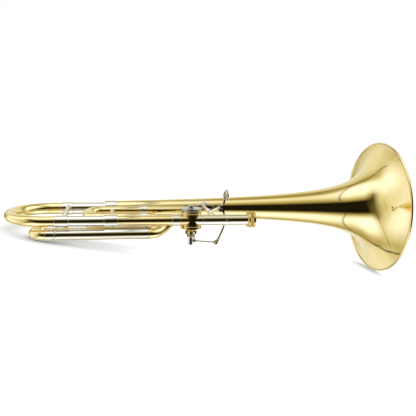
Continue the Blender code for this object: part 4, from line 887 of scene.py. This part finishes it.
def add_lamp(name, place, size, watts):
    """A panel of light that points at the instrument."""
    data = bpy.data.lights.new(name, "AREA")
    data.shape = "RECTANGLE"
    data.size, data.size_y = size
    data.energy = watts
    lamp = new_object(name, data)
    lamp.location = place
    aim = Vector((0, 0, 0.1)) - Vector(place)
    lamp.rotation_euler = aim.to_track_quat("-Z", "Y").to_euler()
    lamp.visible_glossy = False


# What the metal mirrors, by the angle round the tubes: 0 is level towards the camera,
# 90 straight up, 180 level behind the instrument and -90 straight down. The studio's
# panels change along its length, so there is one list for straight ahead, one each for
# the panels beside it and for the corners, and one for the end walls.
AHEAD = [
    (-180, 0.58), (-173, 0.28), (-166, 0.58), (-156, 0.90), (-142, 0.92), (-130, 0.84),
    (-117, 0.56), (-107, 0.50), (-95, 0.66), (-82, 0.94), (-67, 1.22), (-50, 1.28), (-37, 0.96),
    (-28, 0.50), (-20, 0.12), (-15, 0.012), (31, 0.012), (36, 0.16), (45, 0.40), (53, 0.58),
    (62, 0.80), (72, 0.98), (82, 1.06), (90, 0.84), (98, 0.48), (110, 0.38), (120, 0.56),
    (130, 0.76), (145, 0.85), (168, 0.90), (180, 0.58),
]
BESIDE = [
    (-180, 0.56), (-173, 0.28), (-166, 0.56), (-156, 0.92), (-142, 1.02), (-127, 0.94),
    (-116, 0.54), (-107, 0.62), (-97, 0.86), (-85, 1.20), (-67, 1.45), (-50, 1.48), (-38, 1.16),
    (-28, 0.62), (-20, 0.14), (-15, 0.012), (29, 0.012), (34, 0.20), (41, 0.55), (53, 0.95),
    (64, 1.28), (80, 1.45), (95, 1.50), (104, 1.15), (114, 0.62), (124, 0.50), (132, 0.70),
    (145, 0.92), (168, 0.94), (180, 0.56),
]
CORNERS = [
    (-180, 0.52), (-173, 0.36), (-166, 0.60), (-157, 0.86), (-146, 0.66), (-130, 0.60),
    (-112, 0.77), (-90, 0.88), (-68, 0.86), (-52, 0.72), (-40, 0.36), (-28, 0.22), (5, 0.17),
    (28, 0.08), (42, 0.11), (53, 0.32), (63, 0.90), (80, 1.24), (97, 1.40), (110, 0.95),
    (122, 0.62), (135, 0.62), (157, 0.82), (180, 0.52),
]
END_WALLS = [
    (-180, 1.05), (-155, 1.12), (-135, 1.30), (-110, 1.25), (-82, 1.15), (-65, 0.97),
    (-40, 0.84), (-15, 0.73), (0, 0.74), (25, 0.86), (45, 0.94), (60, 1.10), (80, 1.28),
    (110, 1.38), (140, 1.38), (158, 1.24), (180, 1.05),
]
# Each list with the shares between which it takes over from the one before. The share is
# that of the direction that lies along the tubes.
STATIONS = [(BESIDE, -0.04, 0.20), (CORNERS, 0.48, 0.70), (END_WALLS, 0.70, 0.87)]
RIGHT_SHIFT = 0.25            # the panels on the right stand this much further along
ROUND_END = 0.97              # level straight along the tubes, where the angle has no meaning
ROUND_END_SHARES = (0.94, 1.0)  # it takes over between these
# Joints between the panels, seen as thin dark lines: the angle of the long ones above
# and below, by the same share
JOINT_ANGLE = [(0.0, 119), (0.40, 119), (0.60, 129), (0.74, 152), (0.77, 240)]
JOINT_FULL = 270              # angle that a ramp's white stands for
JOINT_EDGES = (0.003, 0.011)  # off its middle, a line is dark to the first, gone at the second
JOINT_DEPTH = 0.70
# Short joints across the tubes: plane, its offset, first and last angle, darkness
CROSS_JOINTS = [
    ((1.0, 0.0, 0.0), 0.11, 36, 122, 0.50),
    ((0.963, -0.080, 0.259), 0.035, -130, -18, 0.50),
    ((0.9815, -0.0658, -0.179), 0.538, -125, -10, 0.40),
]
CROSS_EDGES = (0.004, 0.018)
CROSS_FADE = 6                # degrees over which a short joint's ends fade
# Green and blue of that light by its level: dim walls are warm, the lamps are cool
WARMTH = [(0.0, 0.91, 0.46), (0.2, 0.87, 0.35), (0.4, 0.87, 0.39), (0.55, 0.91, 0.49),
          (0.66, 0.96, 0.61), (0.78, 1.00, 0.78), (0.94, 1.04, 0.96), (1.06, 1.06, 1.15),
          (1.15, 1.09, 1.36), (1.5, 1.10, 1.50)]
RAMP_TOP = 4.0                # a ramp holds colours up to 1, so this level stands at 1


def studio_colour(light):
    for (low, green_low, blue_low), (high, green, blue) in zip(WARMTH, WARMTH[1:]):
        if light <= high:
            part = (light - low) / (high - low)
            return (light, light * (green_low + (green - green_low) * part),
                    light * (blue_low + (blue - blue_low) * part))
    return light, light, light


def studio_ramp(tree, levels, part):
    """Light by angle, from a list of levels."""
    stops = [((degrees + 180) / 360, [value / RAMP_TOP for value in studio_colour(light)])
             for degrees, light in levels]
    return tree.scaled(tree.ramp(part, stops), RAMP_TOP)


def thin_line(tree, distance, edges, depth):
    """1 away from the line and 1 - depth on it; distance is an output that is 0 on the line."""
    return tree.mapped(tree.calc("ABSOLUTE", distance), *edges, 1.0 - depth, 1.0,
                       interpolation_type="SMOOTHSTEP")


def within(tree, part, low, high):
    """1 where the angle, in degrees, lies between the two, with soft ends."""
    half = (high - low) / 2
    away = tree.calc("ABSOLUTE", tree.calc("SUBTRACT", part, ((low + high) / 2 + 180) / 360))
    return tree.mapped(away, (half - CROSS_FADE) / 360, half / 360, 1.0, 0.0)


def add_world():
    """White to the camera, even light on matt surfaces, and the studio in the metal."""
    world = bpy.data.worlds.new("studio")
    world.use_nodes = True
    bpy.context.scene.world = world
    tree = Nodes(world.node_tree)
    direction = tree.add("ShaderNodeTexCoord").outputs["Generated"]
    parts = tree.add("ShaderNodeSeparateXYZ", {"Vector": direction}).outputs
    angle = tree.calc("ARCTAN2", parts["Z"], tree.calc("MULTIPLY", parts["Y"], -1.0))
    part = tree.mapped(angle, -math.pi, math.pi)
    sideways = tree.calc("MAXIMUM", tree.calc("MULTIPLY", parts["X"], -1.0),
                         tree.calc("SUBTRACT", parts["X"], RIGHT_SHIFT))
    light = studio_ramp(tree, AHEAD, part)
    for levels, low, high in STATIONS:
        light = tree.mixed(tree.mapped(sideways, low, high), light,
                           studio_ramp(tree, levels, part))
    light = tree.mixed(tree.mapped(sideways, *ROUND_END_SHARES), light,
                       (*studio_colour(ROUND_END), 1.0))

    # Long joints, by the angle from level ahead, up or down
    turned = tree.calc("DIVIDE", tree.calc("ABSOLUTE", angle), math.radians(JOINT_FULL))
    course = tree.ramp(sideways, [(share, [degrees / JOINT_FULL] * 3)
                                  for share, degrees in JOINT_ANGLE])
    lines = thin_line(tree, tree.calc("SUBTRACT", turned, course), JOINT_EDGES, JOINT_DEPTH)

    # Short joints across the tubes, each on its own stretch of angles
    for normal, offset, low, high, depth in CROSS_JOINTS:
        dot = tree.add("ShaderNodeVectorMath", {0: direction, 1: normal}, operation="DOT_PRODUCT")
        distance = tree.calc("ADD", dot.outputs["Value"], offset)
        dark = tree.calc("SUBTRACT", 1.0, thin_line(tree, distance, CROSS_EDGES, 1.0))
        shade = tree.calc("MULTIPLY", dark, within(tree, part, low, high))
        lines = tree.calc("MULTIPLY", lines, tree.calc("MULTIPLY_ADD", shade, -depth, 1.0))
    mirrored = tree.add("ShaderNodeLightPath").outputs["Is Glossy Ray"]
    colour = tree.mixed(mirrored, (1.0, 1.0, 1.0, 1.0), tree.scaled(light, lines))
    tree.fill(world.node_tree.nodes["Background"], {"Color": colour, "Strength": 1.0})


add_floor()
add_world()
add_lamp("key", (0.0, 0.2, 1.7), (3.0, 2.4), 5.0)
add_lamp("fill", (0.4, 0.9, 1.3), (1.6, 1.2), 1.6)

bpy.context.scene.view_settings.view_transform = "Standard"
